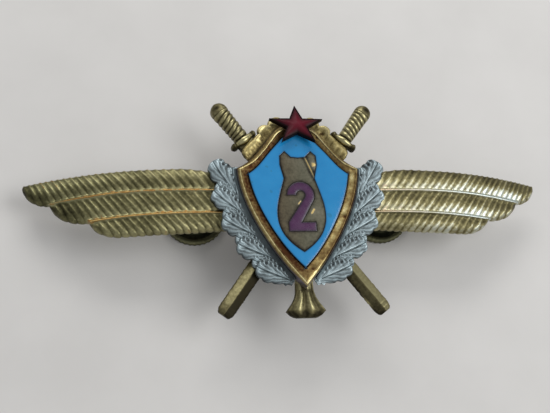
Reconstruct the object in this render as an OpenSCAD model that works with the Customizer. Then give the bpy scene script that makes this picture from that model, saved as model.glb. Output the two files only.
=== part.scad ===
// Winged aviation badge: feathered wings, oak branches, crossed swords, an enamelled
// shield and a star, held to cloth by two threaded studs and their screw nuts.
// X runs along the wings, Y points to the star and Z out of the face. The origin lies
// midway between the two studs, on the flat back of the wing plate.

/* [Wings] */
// Span of the badge from wing tip to wing tip
wing_span = 75; // [68:0.5:84]
// Distance from the middle of the badge to the root line of each wing
wing_root = 8.5; // [8:0.1:9]
// Drop of the wing tips behind the flat back
wing_bend = 3; // [0.5:0.1:4]
// How far the tip of the second feather row stays behind the first
second_row_back = 3.8; // [3:0.1:5]
// How far the tip of the third feather row stays behind the first
third_row_back = 7.1; // [6.4:0.1:8.4]
// Distance between neighbouring barbs along a feather row
barb_pitch = 1.15; // [0.9:0.05:1.5]
// Depth of the grooves between barbs
barb_depth = 0.26; // [0.1:0.02:0.32]
// Sideways lean of the barbs at the wing root, per unit of height
barb_lean_root = 0.66; // [0.5:0.02:0.72]
// Sideways lean of the barbs at the wing tip, per unit of height
barb_lean_tip = 0.42; // [0.3:0.02:0.5]
// Extra lean of the barbs halfway along the wing, per unit of height
barb_lean_rise = 0.3; // [0.1:0.02:0.36]
// Height of the upper wing edge at the root
upper_edge_root = 4.7; // [4.2:0.05:5.2]
// Height of the upper wing edge at the tip
upper_edge_tip = 3; // [2.6:0.05:3.6]
// Height of the lower wing edge at the root
lower_edge_root = -4; // [-4.5:0.05:-3.6]
// Height of the lower wing edge at the tip of the third feather row
lower_edge_tip = -5.05; // [-5.6:0.05:-4.6]

/* [Base] */
// Thickness of the flat bridge between the wings
plate_t = 0.8; // [0.6:0.05:1.2]
// Height of the bridge's upper end on the middle line
bridge_top = 5.4; // [5:0.1:5.8]
// Height of the bridge's lower end on the middle line
bridge_bottom = -8.2; // [-9:0.1:-7.8]
// Radius of the rivets that hold the shield
rivet_r = 0.6; // [0.4:0.05:0.8]
// Radius of the rivet heads on the back
rivet_head_r = 1; // [0.9:0.05:1.3]
// Height of the rivet heads
rivet_head_t = 0.35; // [0.2:0.05:0.4]
// Height of the upper rivet on the middle line
rivet_top_y = 3.6; // [3:0.1:4]
// Height of the lower rivet on the middle line
rivet_bottom_y = -6.2; // [-6.6:0.1:-5.8]

/* [Swords] */
// Angle of each sword from the wings' line, in degrees
sword_angle = 53.3; // [52:0.1:54.5]
// Height of the point where the swords cross
sword_cross_y = -1.1; // [-1.5:0.1:-0.7]
// Thickness of the blades
sword_t = 0.8; // [0.6:0.05:1.1]
// Width of the blades
blade_w = 2.4; // [2:0.05:2.6]
// Distance from the crossing to the blade tip
blade_reach = 18.7; // [17.5:0.1:19.5]
// Distance from the shield's top edge to the guard
guard_out = 1.75; // [1.6:0.05:2.2]
// Length of the guard bar across the sword
guard_w = 4; // [3.4:0.1:4.4]
// Thickness of the guard bar along the sword
guard_l = 0.9; // [0.7:0.05:1.2]
// Width of the grip
grip_w = 2.7; // [2.3:0.1:3]
// Length of the ribbed grip
grip_l = 4.6; // [4:0.1:5]
// Height of the grip above the sword's flat back
grip_t = 1.6; // [1.2:0.05:2]
// Number of spiral ribs on the grip
grip_ribs = 7; // [6:1:8]

/* [Shield] */
// Width of the shield across its corners
shield_w = 16.8; // [16:0.1:17.4]
// Height of the shield's side corners
shield_corner_y = 3.8; // [3.4:0.1:4.2]
// Height of the shield's lower point
shield_tip_y = -12.8; // [-13.4:0.1:-12]
// Radius of the shield's rounded top
shield_crown_r = 4.3; // [3.6:0.1:5]
// Height of the rim above the shield's back
rim_h = 1.7; // [1.5:0.05:2.2]
// Width of the rim
rim_w = 1.42; // [1.1:0.02:1.7]
// Thickness of the shield under the enamel
bed_t = 0.95; // [0.8:0.05:1.1]
// Outward slope of the shield's wall at its foot
wall_flare = 0.25; // [0.1:0.01:0.35]
// Thickness of the blue enamel
enamel_t = 0.5; // [0.3:0.05:0.55]
// Clearance around each enamel filling
enamel_gap = 0.02; // [0.01:0.01:0.05]

/* [Figure and numeral] */
// Half width of the bomb figure at its neck
bomb_neck_w = 2.15; // [1.9:0.05:2.4]
// Half width of the bomb figure's tail fins
bomb_fin_w = 2.7; // [2.5:0.05:3]
// Height of the neck
bomb_neck_y = 2.4; // [2:0.1:2.8]
// Height of the fin tips
bomb_fin_y = 6.4; // [5.8:0.1:6.6]
// Height of the bomb figure's nose
bomb_nose_y = -8.05; // [-8.6:0.05:-7.6]
// Thickness of the bomb figure above the shield's back
bomb_t = 1.55; // [1.45:0.05:1.7]
// Outer radius of the numeral's bow
numeral_r = 1.9; // [1.7:0.05:2]
// Width of the numeral's stroke
numeral_stroke = 1.25; // [0.9:0.05:1.4]
// Height of the numeral's top
numeral_top = 1.85; // [1.5:0.05:2]
// Height of the numeral's foot
numeral_foot = -5.2; // [-5.4:0.05:-4.6]
// Depth of the numeral's enamel
numeral_t = 0.35; // [0.2:0.05:0.5]

/* [Star] */
// Width of the star across its side points
star_w = 7.6; // [6.8:0.1:8]
// Height of the star from its foot points to its top
star_h = 5.9; // [5.4:0.1:6.4]
// How far the star's centre lies below the shield's rounded top
star_set = 0.55; // [0.4:0.05:0.6]
// Backward tilt of the star, in degrees
star_tilt = 12; // [8:0.5:14]
// Thickness of the star plate
star_t = 0.7; // [0.55:0.05:0.9]
// Width of the star's metal edge
star_edge = 0.2; // [0.16:0.02:0.26]
// Rise of the star's enamel above its edge
star_rise = 0.3; // [0.1:0.05:0.5]

/* [Oak branches and scroll] */
// Number of leaves that fan out from each branch
leaf_count = 5; // [4:1:6]
// Length of a leaf
leaf_l = 5.3; // [4.8:0.1:5.6]
// Width of a leaf across its lobes
leaf_w = 3.4; // [3:0.1:3.8]
// Total thickness of a branch
branch_t = 1.05; // [0.8:0.05:1.4]
// Width of the smooth band beside the shield
band_w = 1.7; // [1.2:0.1:2]
// Radius of the scroll lobes, as a share of the distance from the shield to a sword's guard
lobe_share = 0.52; // [0.44:0.02:0.56]
// Thickness of the scroll plate
scroll_t = 0.75; // [0.5:0.05:0.8]

/* [Ribbon] */
// Width of the ribbon at its waist
ribbon_waist_w = 2.9; // [2.6:0.1:3.2]
// Width of the ribbon at its lower edge
ribbon_foot_w = 5.4; // [4.8:0.1:6]
// Height of the ribbon's lower edge at its corners
ribbon_foot_y = -15.8; // [-16.4:0.1:-15.4]
// Thickness of the ribbon's folds
ribbon_t = 1.15; // [0.9:0.05:1.3]

/* [Studs and nuts] */
// Distance between the two studs
stud_span = 27.4; // [26.6:0.1:29]
// Radius of the stud's thread
stud_r = 1.25; // [1:0.05:1.5]
// Length of the stud from the wing plate's back
stud_l = 6.2; // [5.8:0.1:8]
// Radius of the soldered foot of the stud
foot_r = 2.4; // [2:0.1:2.8]
// Thickness of the soldered foot of the stud
foot_t = 0.4; // [0.3:0.05:0.5]
// Length of the plain shoulder that passes through the cloth
shoulder_l = 1.1; // [0.8:0.1:1.6]
// How much wider the shoulder's radius is than the thread's
shoulder_step = 0.25; // [0.2:0.05:0.4]
// Radius of the nut's disc
nut_r = 4.6; // [4.2:0.1:5.4]
// Thickness of the nut's disc
nut_t = 1; // [0.9:0.05:1.4]
// Number of grip notches round the disc
nut_notches = 40; // [30:2:50]
// Depth of the grip notches
notch_depth = 0.22; // [0.1:0.02:0.3]
// Radius of the threaded bush in the disc
bush_r = 2.1; // [1.9:0.05:2.4]
// Radius of the bush's flange in the disc's back
bush_flange_r = 2.8; // [2.7:0.05:3.2]
// Radius of the bush's collar in front of the disc
bush_collar_r = 2.5; // [2.45:0.05:2.65]
// Height of the bush's collar
bush_collar_t = 0.9; // [0.6:0.05:1.2]
// Radial clearance of the thread
thread_gap = 0.04; // [0.02:0.01:0.08]
// Clearance between the bush and the disc
stake_gap = 0.03; // [0.02:0.01:0.06]

/* [Hidden] */

gilt = "goldenrod";
silver = "silver";
dark_brass = "darkolivegreen";
// Small clearance between stacked pieces
seat_gap = 0.05;
// Height at which branches, shield and scroll rest on the swords
seat_z = plate_t + sword_t;
wing_t = seat_z - seat_gap;
half_span = wing_span / 2;
// Sides of true circles
round_fn = 48;
// How far cutting shapes run past what they cut
over = 1;

// Wing edges, from the lower edge through the two quills to the upper edge
first_row_end = half_span - barb_lean_tip * upper_edge_tip;
row_end = [half_span - third_row_back, half_span - second_row_back, first_row_end];
edge_end = [row_end[0], row_end[0], row_end[1], first_row_end];
lower_quill_root = -2.1;
lower_quill_tip = -2.9;
upper_quill_root = 1.15;
upper_quill_tip = -0.1;
edge_root = [lower_edge_root, lower_quill_root, upper_quill_root, upper_edge_root];
edge_tip = [lower_edge_tip, lower_quill_tip, upper_quill_tip, upper_edge_tip];
// Rise of each edge above the straight line from its root to its tip
edge_crown = [0, 0.47, 0.6, 0.3];
// Length of the rounded tip of each feather row
tip_len = [2.6, 4.4, 3.4];
// Roundness of the tips, and the share of a row's height that they round away
tip_power = 2.2;
tip_share = 0.8;
// Rounded shoulder of the upper edge near the root
edge_drop_l = 4.5;
edge_drop = 0.9;
// Across a feather row: share of its width, share of the thickness, share of the barb depth
profile = [[0, 1, 0], [0.14, 0.72, 0.6], [0.4, 0.92, 1], [0.66, 0.92, 1], [0.88, 0.74, 0.8]];
edge_share = 0.5;
edge_barb_share = 0.4;
tip_thin_share = 0.8;
// Width of the step from the bridge up to the feathers
root_step = 0.5;
rows_each = len(profile);
top_row = 3 * rows_each;
barbs = round((first_row_end - wing_root) / barb_pitch);
columns = 2 * barbs;
column_step = (first_row_end - wing_root) / columns;
last_column = [for (f = [0:2]) f == 2 ? columns : floor((row_end[f] - wing_root) / column_step)];
// The back is flat out to a little past the stud feet, and bends from there
flat_past_foot = 3.2;
bend_from = stud_span / 2 + foot_r + flat_past_foot;

function mix(a, b, t) = a + (b - a) * t;
function unit_share(t) = min(1, max(0, t));
function barb_lean(c) = let (t = (c - wing_root) / (first_row_end - wing_root))
    mix(barb_lean_root, barb_lean_tip, t) + barb_lean_rise * 4 * t * (1 - t);
function back_z(x) =
    -wing_bend * pow(max(0, abs(x) - bend_from) / (half_span - bend_from), 2);

// Height of edge line f at wing position c, before any tip is rounded
function edge_line(f, c) =
    let (t = (c - wing_root) / (edge_end[f] - wing_root))
    let (drop = f == 3 ? edge_drop * pow(unit_share(1 - (c - wing_root) / edge_drop_l), 2) : 0)
    mix(edge_root[f], edge_tip[f], t) + edge_crown[f] * 4 * t * (1 - t) - drop;

// Lower edge of feather row f, with its rounded tip
function row_edge(f, c) = f == 3 ? edge_line(3, c) :
    let (t = unit_share((c - row_end[f] + tip_len[f]) / tip_len[f]))
    let (rise = tip_share * (1 - pow(1 - pow(t, tip_power), 1 / tip_power)))
    mix(edge_line(f, c), row_edge(f + 1, c), rise);

function first_row(j) = j <= last_column[0] ? 0 : j <= last_column[1] ? rows_each : 2 * rows_each;

// Plan position of a point of the wing grid
function wing_xy(j, row) =
    let (f = min(2, floor(row / rows_each)))
    let (v = row == top_row ? 1 : profile[row % rows_each][0])
    let (c = wing_root + j * column_step)
    let (y = mix(row_edge(f, c), row_edge(f + 1, c), v))
    [c + barb_lean(c) * y, y];

// Height of the relief at a point of the wing grid
function wing_height(j, row) =
    let (edge = row == top_row || row == first_row(j))
    let (share = edge ? edge_share : profile[row % rows_each][1])
    let (barb = edge ? edge_barb_share : profile[row % rows_each][2])
    let (groove = j % 2 == 0 ? barb_depth * barb : 0)
    wing_t * share * mix(1, tip_thin_share, j / columns) - groove;

function wing_top(j, row) = let (p = wing_xy(j, row)) [p.x, p.y, back_z(p.x) + wing_height(j, row)];
function wing_back(j, row) = let (p = wing_xy(j, row)) [p.x, p.y, back_z(p.x)];
function bridge_xy(row) = [0, mix(bridge_bottom, bridge_top, row / top_row)];
function step_xy(row) = wing_xy(0, row) - [root_step, 0];
function raised(p, z) = [p.x, p.y, z];
function mirrored(points) = [for (p = points) [-p.x, p.y, p.z]];

// One half of the plate column by column: the rows of the face, then four points of the back
back_rows = [for (f = [0:3]) f * rows_each];
bridge_column = concat([for (r = [0:top_row]) raised(bridge_xy(r), plate_t)],
    [for (r = back_rows) raised(bridge_xy(r), 0)]);
step_column = concat([for (r = [0:top_row]) raised(step_xy(r), plate_t)],
    [for (r = back_rows) raised(step_xy(r), 0)]);
wing_columns = [for (j = [0:columns]) each concat([for (r = [0:top_row]) wing_top(j, r)],
    [for (r = back_rows) wing_back(j, r)])];
half_points = concat(step_column, wing_columns);
stride = top_row + 1 + len(back_rows);

// Index of a point: column 0 is the shared middle line, column 1 the step, the rest the wing
function at(side, column, k) = column == 0 ? k :
    stride + (side > 0 ? 0 : len(half_points)) + (column - 1) * stride + k;
function back_at(side, column, f) = at(side, column, top_row + 1 + f);
function quad(side, a, b, c, d) = side > 0 ? [[a, b, c], [a, c, d]] : [[a, c, b], [a, d, c]];
function reversed(loop) = [for (k = [len(loop) - 1:-1:0]) loop[k]];
function turned(side, faces) = side > 0 ? faces : [for (face = faces) reversed(face)];
// Triangles between a row of face points and the two back points under its ends
function end_wall(row, first, last) = let (mid = floor(len(row) / 2))
    concat([for (k = [0:len(row) - 2]) [row[k], row[k + 1], k < mid ? first : last]],
        [[row[mid], last, first]]);
function start_row(column) = first_row(max(0, column - 2));

function face_cells(side) = [for (n = [0:columns + 1]) for (r = [start_row(n + 1):top_row - 1])
    each quad(side, at(side, n, r), at(side, n, r + 1), at(side, n + 1, r + 1), at(side, n + 1, r))];
function back_cells(side) = [for (n = [0:columns + 1]) for (f = [start_row(n + 1) / rows_each:2])
    each quad(side, back_at(side, n, f), back_at(side, n + 1, f), back_at(side, n + 1, f + 1),
        back_at(side, n, f + 1))];
function upper_wall(side) = [for (n = [0:columns + 1])
    each quad(side, at(side, n, top_row), back_at(side, n, 3), back_at(side, n + 1, 3),
        at(side, n + 1, top_row))];
function lower_wall(side) = [for (n = [0:columns + 1]) let (r = start_row(n + 1))
    each quad(side, at(side, n, r), at(side, n + 1, r), back_at(side, n + 1, r / rows_each),
        back_at(side, n, r / rows_each))];
function tip_walls(side) = [for (f = [0:2]) let (n = last_column[f] + 2)
    each turned(side, end_wall([for (r = [f * rows_each:(f + 1) * rows_each]) at(side, n, r)],
        back_at(side, n, f), back_at(side, n, f + 1)))];
function half_faces(side) = concat(face_cells(side), back_cells(side), upper_wall(side),
    lower_wall(side), tip_walls(side));

// Offsets a clockwise outline inwards by d
function unit(v) = v / norm(v);
function inward(v) = [v.y, -v.x];
function inset(loop, d) = let (n = len(loop)) [for (i = [0:n - 1])
    let (before = inward(unit(loop[i] - loop[(i + n - 1) % n])))
    let (after = inward(unit(loop[(i + 1) % n] - loop[i])))
    loop[i] + d * (before + after) / (1 + before * after)];

// Shield outline, clockwise from the middle of its rounded top
crown_steps = 4;
side_steps = 10;
side_power = 1.7;
crown_y = shield_w / 2 + shield_corner_y - shield_crown_r * sqrt(2);
star_y = crown_y + shield_crown_r - star_set;
function crown_point(a) = [shield_crown_r * sin(a), crown_y + shield_crown_r * cos(a)];
function side_point(f) =
    [shield_w / 2 * (1 - pow(f, side_power)), mix(shield_corner_y, shield_tip_y, f)];
right_outline = concat([for (k = [0:crown_steps]) crown_point(45 * k / crown_steps)],
    [for (k = [0:side_steps]) side_point(k / side_steps)]);
shield_outline = concat(right_outline,
    [for (k = [len(right_outline) - 2:-1:1]) [-right_outline[k].x, right_outline[k].y]]);
// Rim section: inset from the outline and height above the shield's back
rim_section = [[-wall_flare, 0], [0, 0.8 * rim_h], [0.12 * rim_w, 0.95 * rim_h], [0.3 * rim_w, rim_h],
    [0.46 * rim_w, 0.91 * rim_h], [0.6 * rim_w, rim_h], [0.74 * rim_w, 0.92 * rim_h], [rim_w, bed_t]];
// The outline that neighbours of the shield keep clear of
clear_of_shield = wall_flare + seat_gap;
// Places of the scroll lobes, as shares of the straight top edge; a guard lies over the last
lobe_places = [-0.12, 0.13, 0.48];
function edge_at(d, share) = let (loop = inset(shield_outline, -d))
    mix(loop[crown_steps], loop[crown_steps + 1], share);
function along_sword(p) = (p - [0, sword_cross_y]) * [cos(sword_angle), sin(sword_angle)];
guard_reach = guard_out + along_sword(edge_at(clear_of_shield, lobe_places[2]));

// Bomb figure, clockwise from the middle of its tail
bomb_steps = 12;
// Control points of the bomb's flank, right of the middle line
bomb_shoulder = [3, -0.8];
bomb_belly = [5.2, -4.8];
// The fins' dip at the middle line, and the width of their inner ends and of their bevels
fin_dip = 1;
fin_root_w = 1;
fin_bevel = 0.7;
function bezier(a, b, c, d, t) =
    pow(1 - t, 3) * a + 3 * t * pow(1 - t, 2) * b + 3 * t * t * (1 - t) * c + pow(t, 3) * d;
bomb_half = concat([[0, bomb_fin_y - fin_dip], [fin_root_w, bomb_fin_y - 0.9 * fin_dip],
    [bomb_fin_w - fin_bevel, bomb_fin_y], [bomb_fin_w, bomb_fin_y - fin_bevel],
    [bomb_fin_w, mix(bomb_neck_y, bomb_fin_y, 0.5)]],
    [for (k = [0:bomb_steps]) bezier([bomb_neck_w, bomb_neck_y], bomb_shoulder, bomb_belly,
        [0, bomb_nose_y], k / bomb_steps)]);
bomb_outline = concat(bomb_half,
    [for (k = [len(bomb_half) - 2:-1:1]) [-bomb_half[k].x, bomb_half[k].y]]);

// Numeral two, clockwise: outer bow, foot bar, then the inner bow back to the start
bow_steps = 14;
bow_end = -38;
bow_y = numeral_top - numeral_r;
bar_top = numeral_foot + numeral_stroke;
// Where the slanting stroke's lower edge meets the foot bar
slant_foot = 1.45 * numeral_stroke - numeral_r;
function bow_point(r, t) = let (a = mix(180, bow_end, t)) [r * cos(a), bow_y + r * sin(a)];
numeral_outline = concat([for (k = [0:bow_steps]) bow_point(numeral_r, k / bow_steps)],
    [[slant_foot, bar_top], [numeral_r, bar_top], [numeral_r, numeral_foot],
    [-numeral_r, numeral_foot], [-numeral_r, bar_top]],
    [for (k = [bow_steps:-1:0]) bow_point(numeral_r - numeral_stroke, k / bow_steps)]);

// Star outline, clockwise from its top
star_notch_share = 0.4;
star_top_r = star_h / (1 + sin(54));
star_side_r = star_w / 2 / cos(18);
star_outline = [for (k = [0:9]) let (r = k % 2 == 0 ? 1 : star_notch_share, a = 90 - 36 * k)
    [r * star_side_r * cos(a), r * star_top_r * sin(a)]];

// Closed solid under a grid of face points, with a flat back of two points per station
module relief(face, back) {
    n = len(face);
    m = len(face[0]);
    s = m + 2;
    points = [for (k = [0:n - 1]) each concat(face[k], back[k])];
    cells = [for (k = [0:n - 2]) for (r = [0:m - 2])
        each quad(1, k * s + r, k * s + r + 1, (k + 1) * s + r + 1, (k + 1) * s + r)];
    walls = [for (k = [0:n - 2]) let (a = k * s, b = (k + 1) * s)
        each concat(quad(1, a, b, b + m, a + m),
            quad(1, a + m - 1, a + m + 1, b + m + 1, b + m - 1),
            quad(1, a + m, b + m, b + m + 1, a + m + 1))];
    far = (n - 1) * s;
    near_end = turned(-1, end_wall([for (r = [0:m - 1]) r], m, m + 1));
    far_end = end_wall([for (r = [0:m - 1]) far + r], far + m, far + m + 1);
    polyhedron(points, concat(cells, walls, near_end, far_end));
}

// Closed solid through a stack of clockwise loops with equal counts
function middle(loop) = [for (p = loop) 1] * loop / len(loop);
module stack(loops) {
    m = len(loops[0]);
    top = (len(loops) - 1) * m;
    low_middle = top + m;
    bands = [for (k = [0:len(loops) - 2]) for (i = [0:m - 1])
        let (a = k * m + i, b = k * m + (i + 1) % m) each quad(1, a, b, b + m, a + m)];
    caps = [for (i = [0:m - 1]) let (b = (i + 1) % m)
        each [[b, i, low_middle], [top + i, top + b, low_middle + 1]]];
    polyhedron(concat([for (loop = loops) each loop], [middle(loops[0]), middle(loops[len(loops) - 1])]),
        concat(bands, caps));
}

function lifted(loop, z) = [for (p = loop) raised(p, z)];

// Depth of the rivets in the shield, and the clearance of their bores
rivet_bite = 0.6;
rivet_gap = 0.02;
module rivet_bores(top) {
    for (y = [rivet_top_y, rivet_bottom_y])
        translate([0, y, -over]) cylinder(r = rivet_r + rivet_gap, h = top + over, $fn = round_fn);
}

module wing_plate() {
    color(gilt) difference() {
        polyhedron(concat(bridge_column, half_points, mirrored(half_points)),
            concat(half_faces(1), half_faces(-1)));
        rivet_bores(plate_t + over);
    }
}

// Thickness of the blade along its edges
edge_t = 0.3;
// Length of the tapered blade point
point_l = 1.1;
// Half length of the lap where the swords cross, and of the eased step beside it
lap_l = 3;
lap_ease = 0.3;
// Hidden flat stretch of the blade below the crossing
tang_l = 8.5;
// Lead of the grip's spiral ribs from the middle of the sword to one side, full between its end quarters
grip_lead = 0.8;
hilt_gap = 2 * seat_gap;
grip_from = guard_reach + guard_l + hilt_gap;
pommel_from = grip_from + grip_l + hilt_gap;
pommel_l = 1.4;
// Pommel section by section: share of its length, of the grip's width and of its height
pommel_shares = [[0, 1.08, 1.05], [0.6, 1.04, 1.05], [0.88, 0.8, 0.85], [1, 0.4, 0.6]];
// Shares of a hilt section's height at its edges and halfway in
hilt_edge_share = 0.4;
hilt_full_share = 0.87;
rib_share = 0.84;
guard_t = 0.9 * grip_t;

// Sword stations: place along the sword, half width, floor, edge and crest heights, fullness, lead
function blade_station(s, w) = [s, w, 0, edge_t, sword_t, 0.5, 0];
function tang_station(s, low, high) = [s, blade_w / 2, low, high, high, 1, 0];
function hilt_station(s, w, h, lead) = [s, w, 0, hilt_edge_share * h, h, hilt_full_share, lead];
function grip_station(k, side) = let (rib = k % 2 == 0 ? rib_share : 1, t = k / (2 * grip_ribs))
    hilt_station(grip_from + t * grip_l, rib * grip_w / 2, rib * grip_t,
        side * grip_lead * min(1, 4 * t, 4 * (1 - t)));
function sword_stations(side) =
    let (low = side > 0 ? sword_t / 2 : 0, high = side > 0 ? sword_t : sword_t / 2)
    concat([blade_station(-blade_reach, blade_w / 5), blade_station(point_l - blade_reach, blade_w / 2),
        blade_station(-tang_l - lap_ease, blade_w / 2), tang_station(-tang_l, 0, sword_t),
        tang_station(-lap_l - lap_ease, 0, sword_t), tang_station(-lap_l, low, high),
        tang_station(lap_l, low, high), tang_station(lap_l + lap_ease, 0, sword_t),
        tang_station(guard_reach - seat_gap, 0, sword_t),
        hilt_station(guard_reach, guard_w / 2, guard_t, 0),
        hilt_station(guard_reach + guard_l, guard_w / 2, guard_t, 0)],
        [for (k = [0:2 * grip_ribs]) grip_station(k, side)],
        [for (q = pommel_shares)
            hilt_station(pommel_from + q[0] * pommel_l, q[1] * grip_w / 2, q[2] * grip_t, 0)]);
function station_point(q, share, z) = [q[0] + q[6] * share, share * q[1], z];

module sword(side) {
    stations = sword_stations(side);
    face = [for (q = stations) let (mid = mix(q[3], q[4], q[5]))
        [station_point(q, -1, q[3]), station_point(q, -0.5, mid), station_point(q, 0, q[4]),
            station_point(q, 0.5, mid), station_point(q, 1, q[3])]];
    back = [for (q = stations) [station_point(q, -1, q[2]), station_point(q, 1, q[2])]];
    relief(face, back);
}

module left_sword() {
    color(gilt) translate([0, sword_cross_y, plate_t]) rotate([0, 0, 180 - sword_angle]) sword(-1);
}

module right_sword() {
    color(gilt) translate([0, sword_cross_y, plate_t]) rotate([0, 0, sword_angle]) sword(1);
}

// Scroll plate: a band along the shield's top edge with three lobes on each side of the star
band_end_share = 0.64;
band_share = 0.3;
scroll_out = clear_of_shield + band_share * guard_out;
function top_half(d) =
    concat([for (k = [0:crown_steps]) inset(shield_outline, -d)[k]], [edge_at(d, band_end_share)]);
function both_sides(half) =
    concat([for (k = [len(half) - 1:-1:1]) [-half[k].x, half[k].y]], half);
module scroll_plate() {
    color(gilt) translate([0, 0, seat_z]) linear_extrude(scroll_t) difference() {
        union() {
            polygon(concat(both_sides(top_half(0)), reversed(both_sides(top_half(scroll_out)))));
            for (side = [-1, 1], share = lobe_places) let (p = edge_at(scroll_out, share))
                translate([side * p.x, p.y]) circle(lobe_share * guard_out, $fn = round_fn);
        }
        polygon(inset(shield_outline, -clear_of_shield));
    }
}

// Oak leaf along +X from its stem, with rounded lobes, a raised midrib and a lifted tip
leaf_steps = 16;
leaf_lobe_count = 3.5;
lobe_cut_share = 0.22;
// Narrowest share of the width, at the stem and the tip, and the forward sweep of the lobes
stem_share = 0.08;
lobe_sweep_share = 0.25;
// Heights at the edge, halfway in and on the midrib, and the lift of the tip
leaf_edge = 0.35;
leaf_crest = 0.65;
leaf_rib = 0.78;
leaf_lift = 0.35;
leaf_thin_share = 0.75;
function leaf_half(u) = leaf_w / 2 * max(stem_share, sqrt(sin(180 * pow(u, 0.8)))) *
    (1 - lobe_cut_share * (0.5 + 0.5 * cos(360 * leaf_lobe_count * u)));
function leaf_point(u, share, z) =
    [u * leaf_l + lobe_sweep_share * abs(share) * leaf_half(u), share * leaf_half(u), z];
module leaf() {
    shares = [-1, -0.55, 0, 0.55, 1];
    heights = [leaf_edge, leaf_crest, leaf_rib, leaf_crest, leaf_edge];
    stations = [for (k = [0:leaf_steps]) k / leaf_steps];
    relief([for (u = stations) [for (r = [0:4])
            leaf_point(u, shares[r],
                heights[r] * mix(leaf_thin_share, 1, unit_share(3 * (1 - u))) + leaf_lift * u)]],
        [for (u = stations) [leaf_point(u, -1, 0), leaf_point(u, 1, 0)]]);
}

// Branch on the right: a smooth band beside the shield and leaves that fan out from it
band_t = 0.4;
// Places of the first and last leaf along the shield's side, their angles and their stems' distance
first_leaf_share = 0.187;
last_leaf_share = 0.93;
first_angle = 54;
last_angle = 22;
angle_power = 2.5;
stem_out = 0.6;
// Place and angle of the leaf that fills the corner at the top of a branch
top_leaf_place = 0.13;
top_leaf_angle = 82;
function offset_side(d) = let (loop = inset(shield_outline, -d))
    [for (k = [1:side_steps - 1]) loop[crown_steps + 1 + k]];
function leaf_base(t) =
    side_point(mix(first_leaf_share, last_leaf_share, t)) + [clear_of_shield + stem_out, 0];
function leaf_angle(t) = mix(first_angle, last_angle, 1 - pow(1 - t, angle_power));
module oak_branch() {
    fan = [for (k = [0:leaf_count - 1]) let (t = k / (leaf_count - 1)) [t, leaf_angle(t)]];
    inner = offset_side(clear_of_shield);
    outer = offset_side(clear_of_shield + band_w);
    translate([0, 0, seat_z]) resize([0, 0, branch_t]) union() {
        linear_extrude(band_t) polygon(concat(inner, reversed(outer)));
        difference() {
            for (q = concat([[top_leaf_place, top_leaf_angle]], fan))
                translate(raised(leaf_base(q[0]), 0)) rotate([0, 0, q[1]]) leaf();
            translate([0, 0, -over]) linear_extrude(branch_t + 2 * over)
                polygon(inset(shield_outline, -clear_of_shield));
        }
    }
}

module right_oak_branch() {
    color(silver) oak_branch();
}

module left_oak_branch() {
    color(silver) mirror([1, 0, 0]) oak_branch();
}

// Ribbon: a flat tongue under the shield, then folds that flare to a rounded lower edge
tongue_w = 2.4;
// Overlap of the tongue and the bridge
tongue_bite = 0.8;
// The folds start below the shield's point, one short step after the tongue
ribbon_step = 0.3;
ribbon_neck_y = shield_tip_y - clear_of_shield - ribbon_step;
ribbon_sag = 0.9;
fold_depth = 0.3;
fold_steps = 8;
module ribbon_bow() {
    flat_t = sword_t - seat_gap;
    flare_l = ribbon_neck_y - ribbon_foot_y;
    // Height, width, thickness and fold depth of each station
    stations = [[ribbon_foot_y - ribbon_sag, 0.45 * ribbon_foot_w, 0.8 * ribbon_t, 0.6 * fold_depth],
        [ribbon_foot_y - 0.6 * ribbon_sag, 0.8 * ribbon_foot_w, 0.9 * ribbon_t, 0.8 * fold_depth],
        [ribbon_foot_y, ribbon_foot_w, ribbon_t, fold_depth],
        [ribbon_foot_y + 0.5 * flare_l, mix(ribbon_waist_w, ribbon_foot_w, 0.35), ribbon_t, 0.8 * fold_depth],
        [ribbon_neck_y, ribbon_waist_w, ribbon_t, 0.6 * fold_depth],
        [ribbon_neck_y + ribbon_step / 2, ribbon_waist_w, flat_t, 0],
        [bridge_bottom, tongue_w, flat_t, 0],
        [bridge_bottom + tongue_bite, tongue_w, flat_t, 0]];
    color(gilt) translate([0, 0, plate_t])
        relief([for (q = stations) [for (k = [fold_steps:-1:0])
                [(k / fold_steps - 0.5) * q[1], q[0], q[2] - q[3] * (k % 2)]]],
            [for (q = stations) [for (v = [0.5, -0.5]) [v * q[1], q[0], 0]]]);
}

module shield() {
    color(gilt) translate([0, 0, seat_z]) difference() {
        union() {
            stack([for (q = rim_section) lifted(inset(shield_outline, q[0]), q[1])]);
            translate([0, 0, bed_t / 2]) linear_extrude(bomb_t - bed_t / 2) polygon(bomb_outline);
        }
        translate([0, 0, bomb_t - numeral_t]) linear_extrude(numeral_t + over)
            polygon(inset(numeral_outline, -enamel_gap));
        rivet_bores(rivet_bite + seat_gap);
    }
}

module shield_enamel() {
    color("deepskyblue") translate([0, 0, seat_z + bed_t]) linear_extrude(enamel_t) difference() {
        polygon(inset(shield_outline, rim_w + enamel_gap));
        polygon(inset(bomb_outline, -enamel_gap));
    }
}

module numeral_enamel() {
    color("indigo") translate([0, 0, seat_z + bomb_t - numeral_t]) linear_extrude(numeral_t)
        polygon(numeral_outline);
}

// Star on the shield's rounded top, leaning back over the scroll plate
star_floor = 0.25;
module star_place() {
    translate([0, star_y, seat_z + rim_h + seat_gap]) rotate([-star_tilt, 0, 0]) children();
}

module star() {
    color(gilt) star_place() difference() {
        linear_extrude(star_t) polygon(star_outline);
        translate([0, 0, star_floor]) linear_extrude(star_t) polygon(inset(star_outline, star_edge));
    }
}

module star_enamel() {
    wet = inset(star_outline, star_edge + enamel_gap);
    color("darkred") star_place() stack([lifted(wet, star_floor), lifted(wet, star_t),
        lifted(0.45 * wet, star_t + 0.75 * star_rise), lifted(0.08 * wet, star_t + star_rise)]);
}

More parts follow.
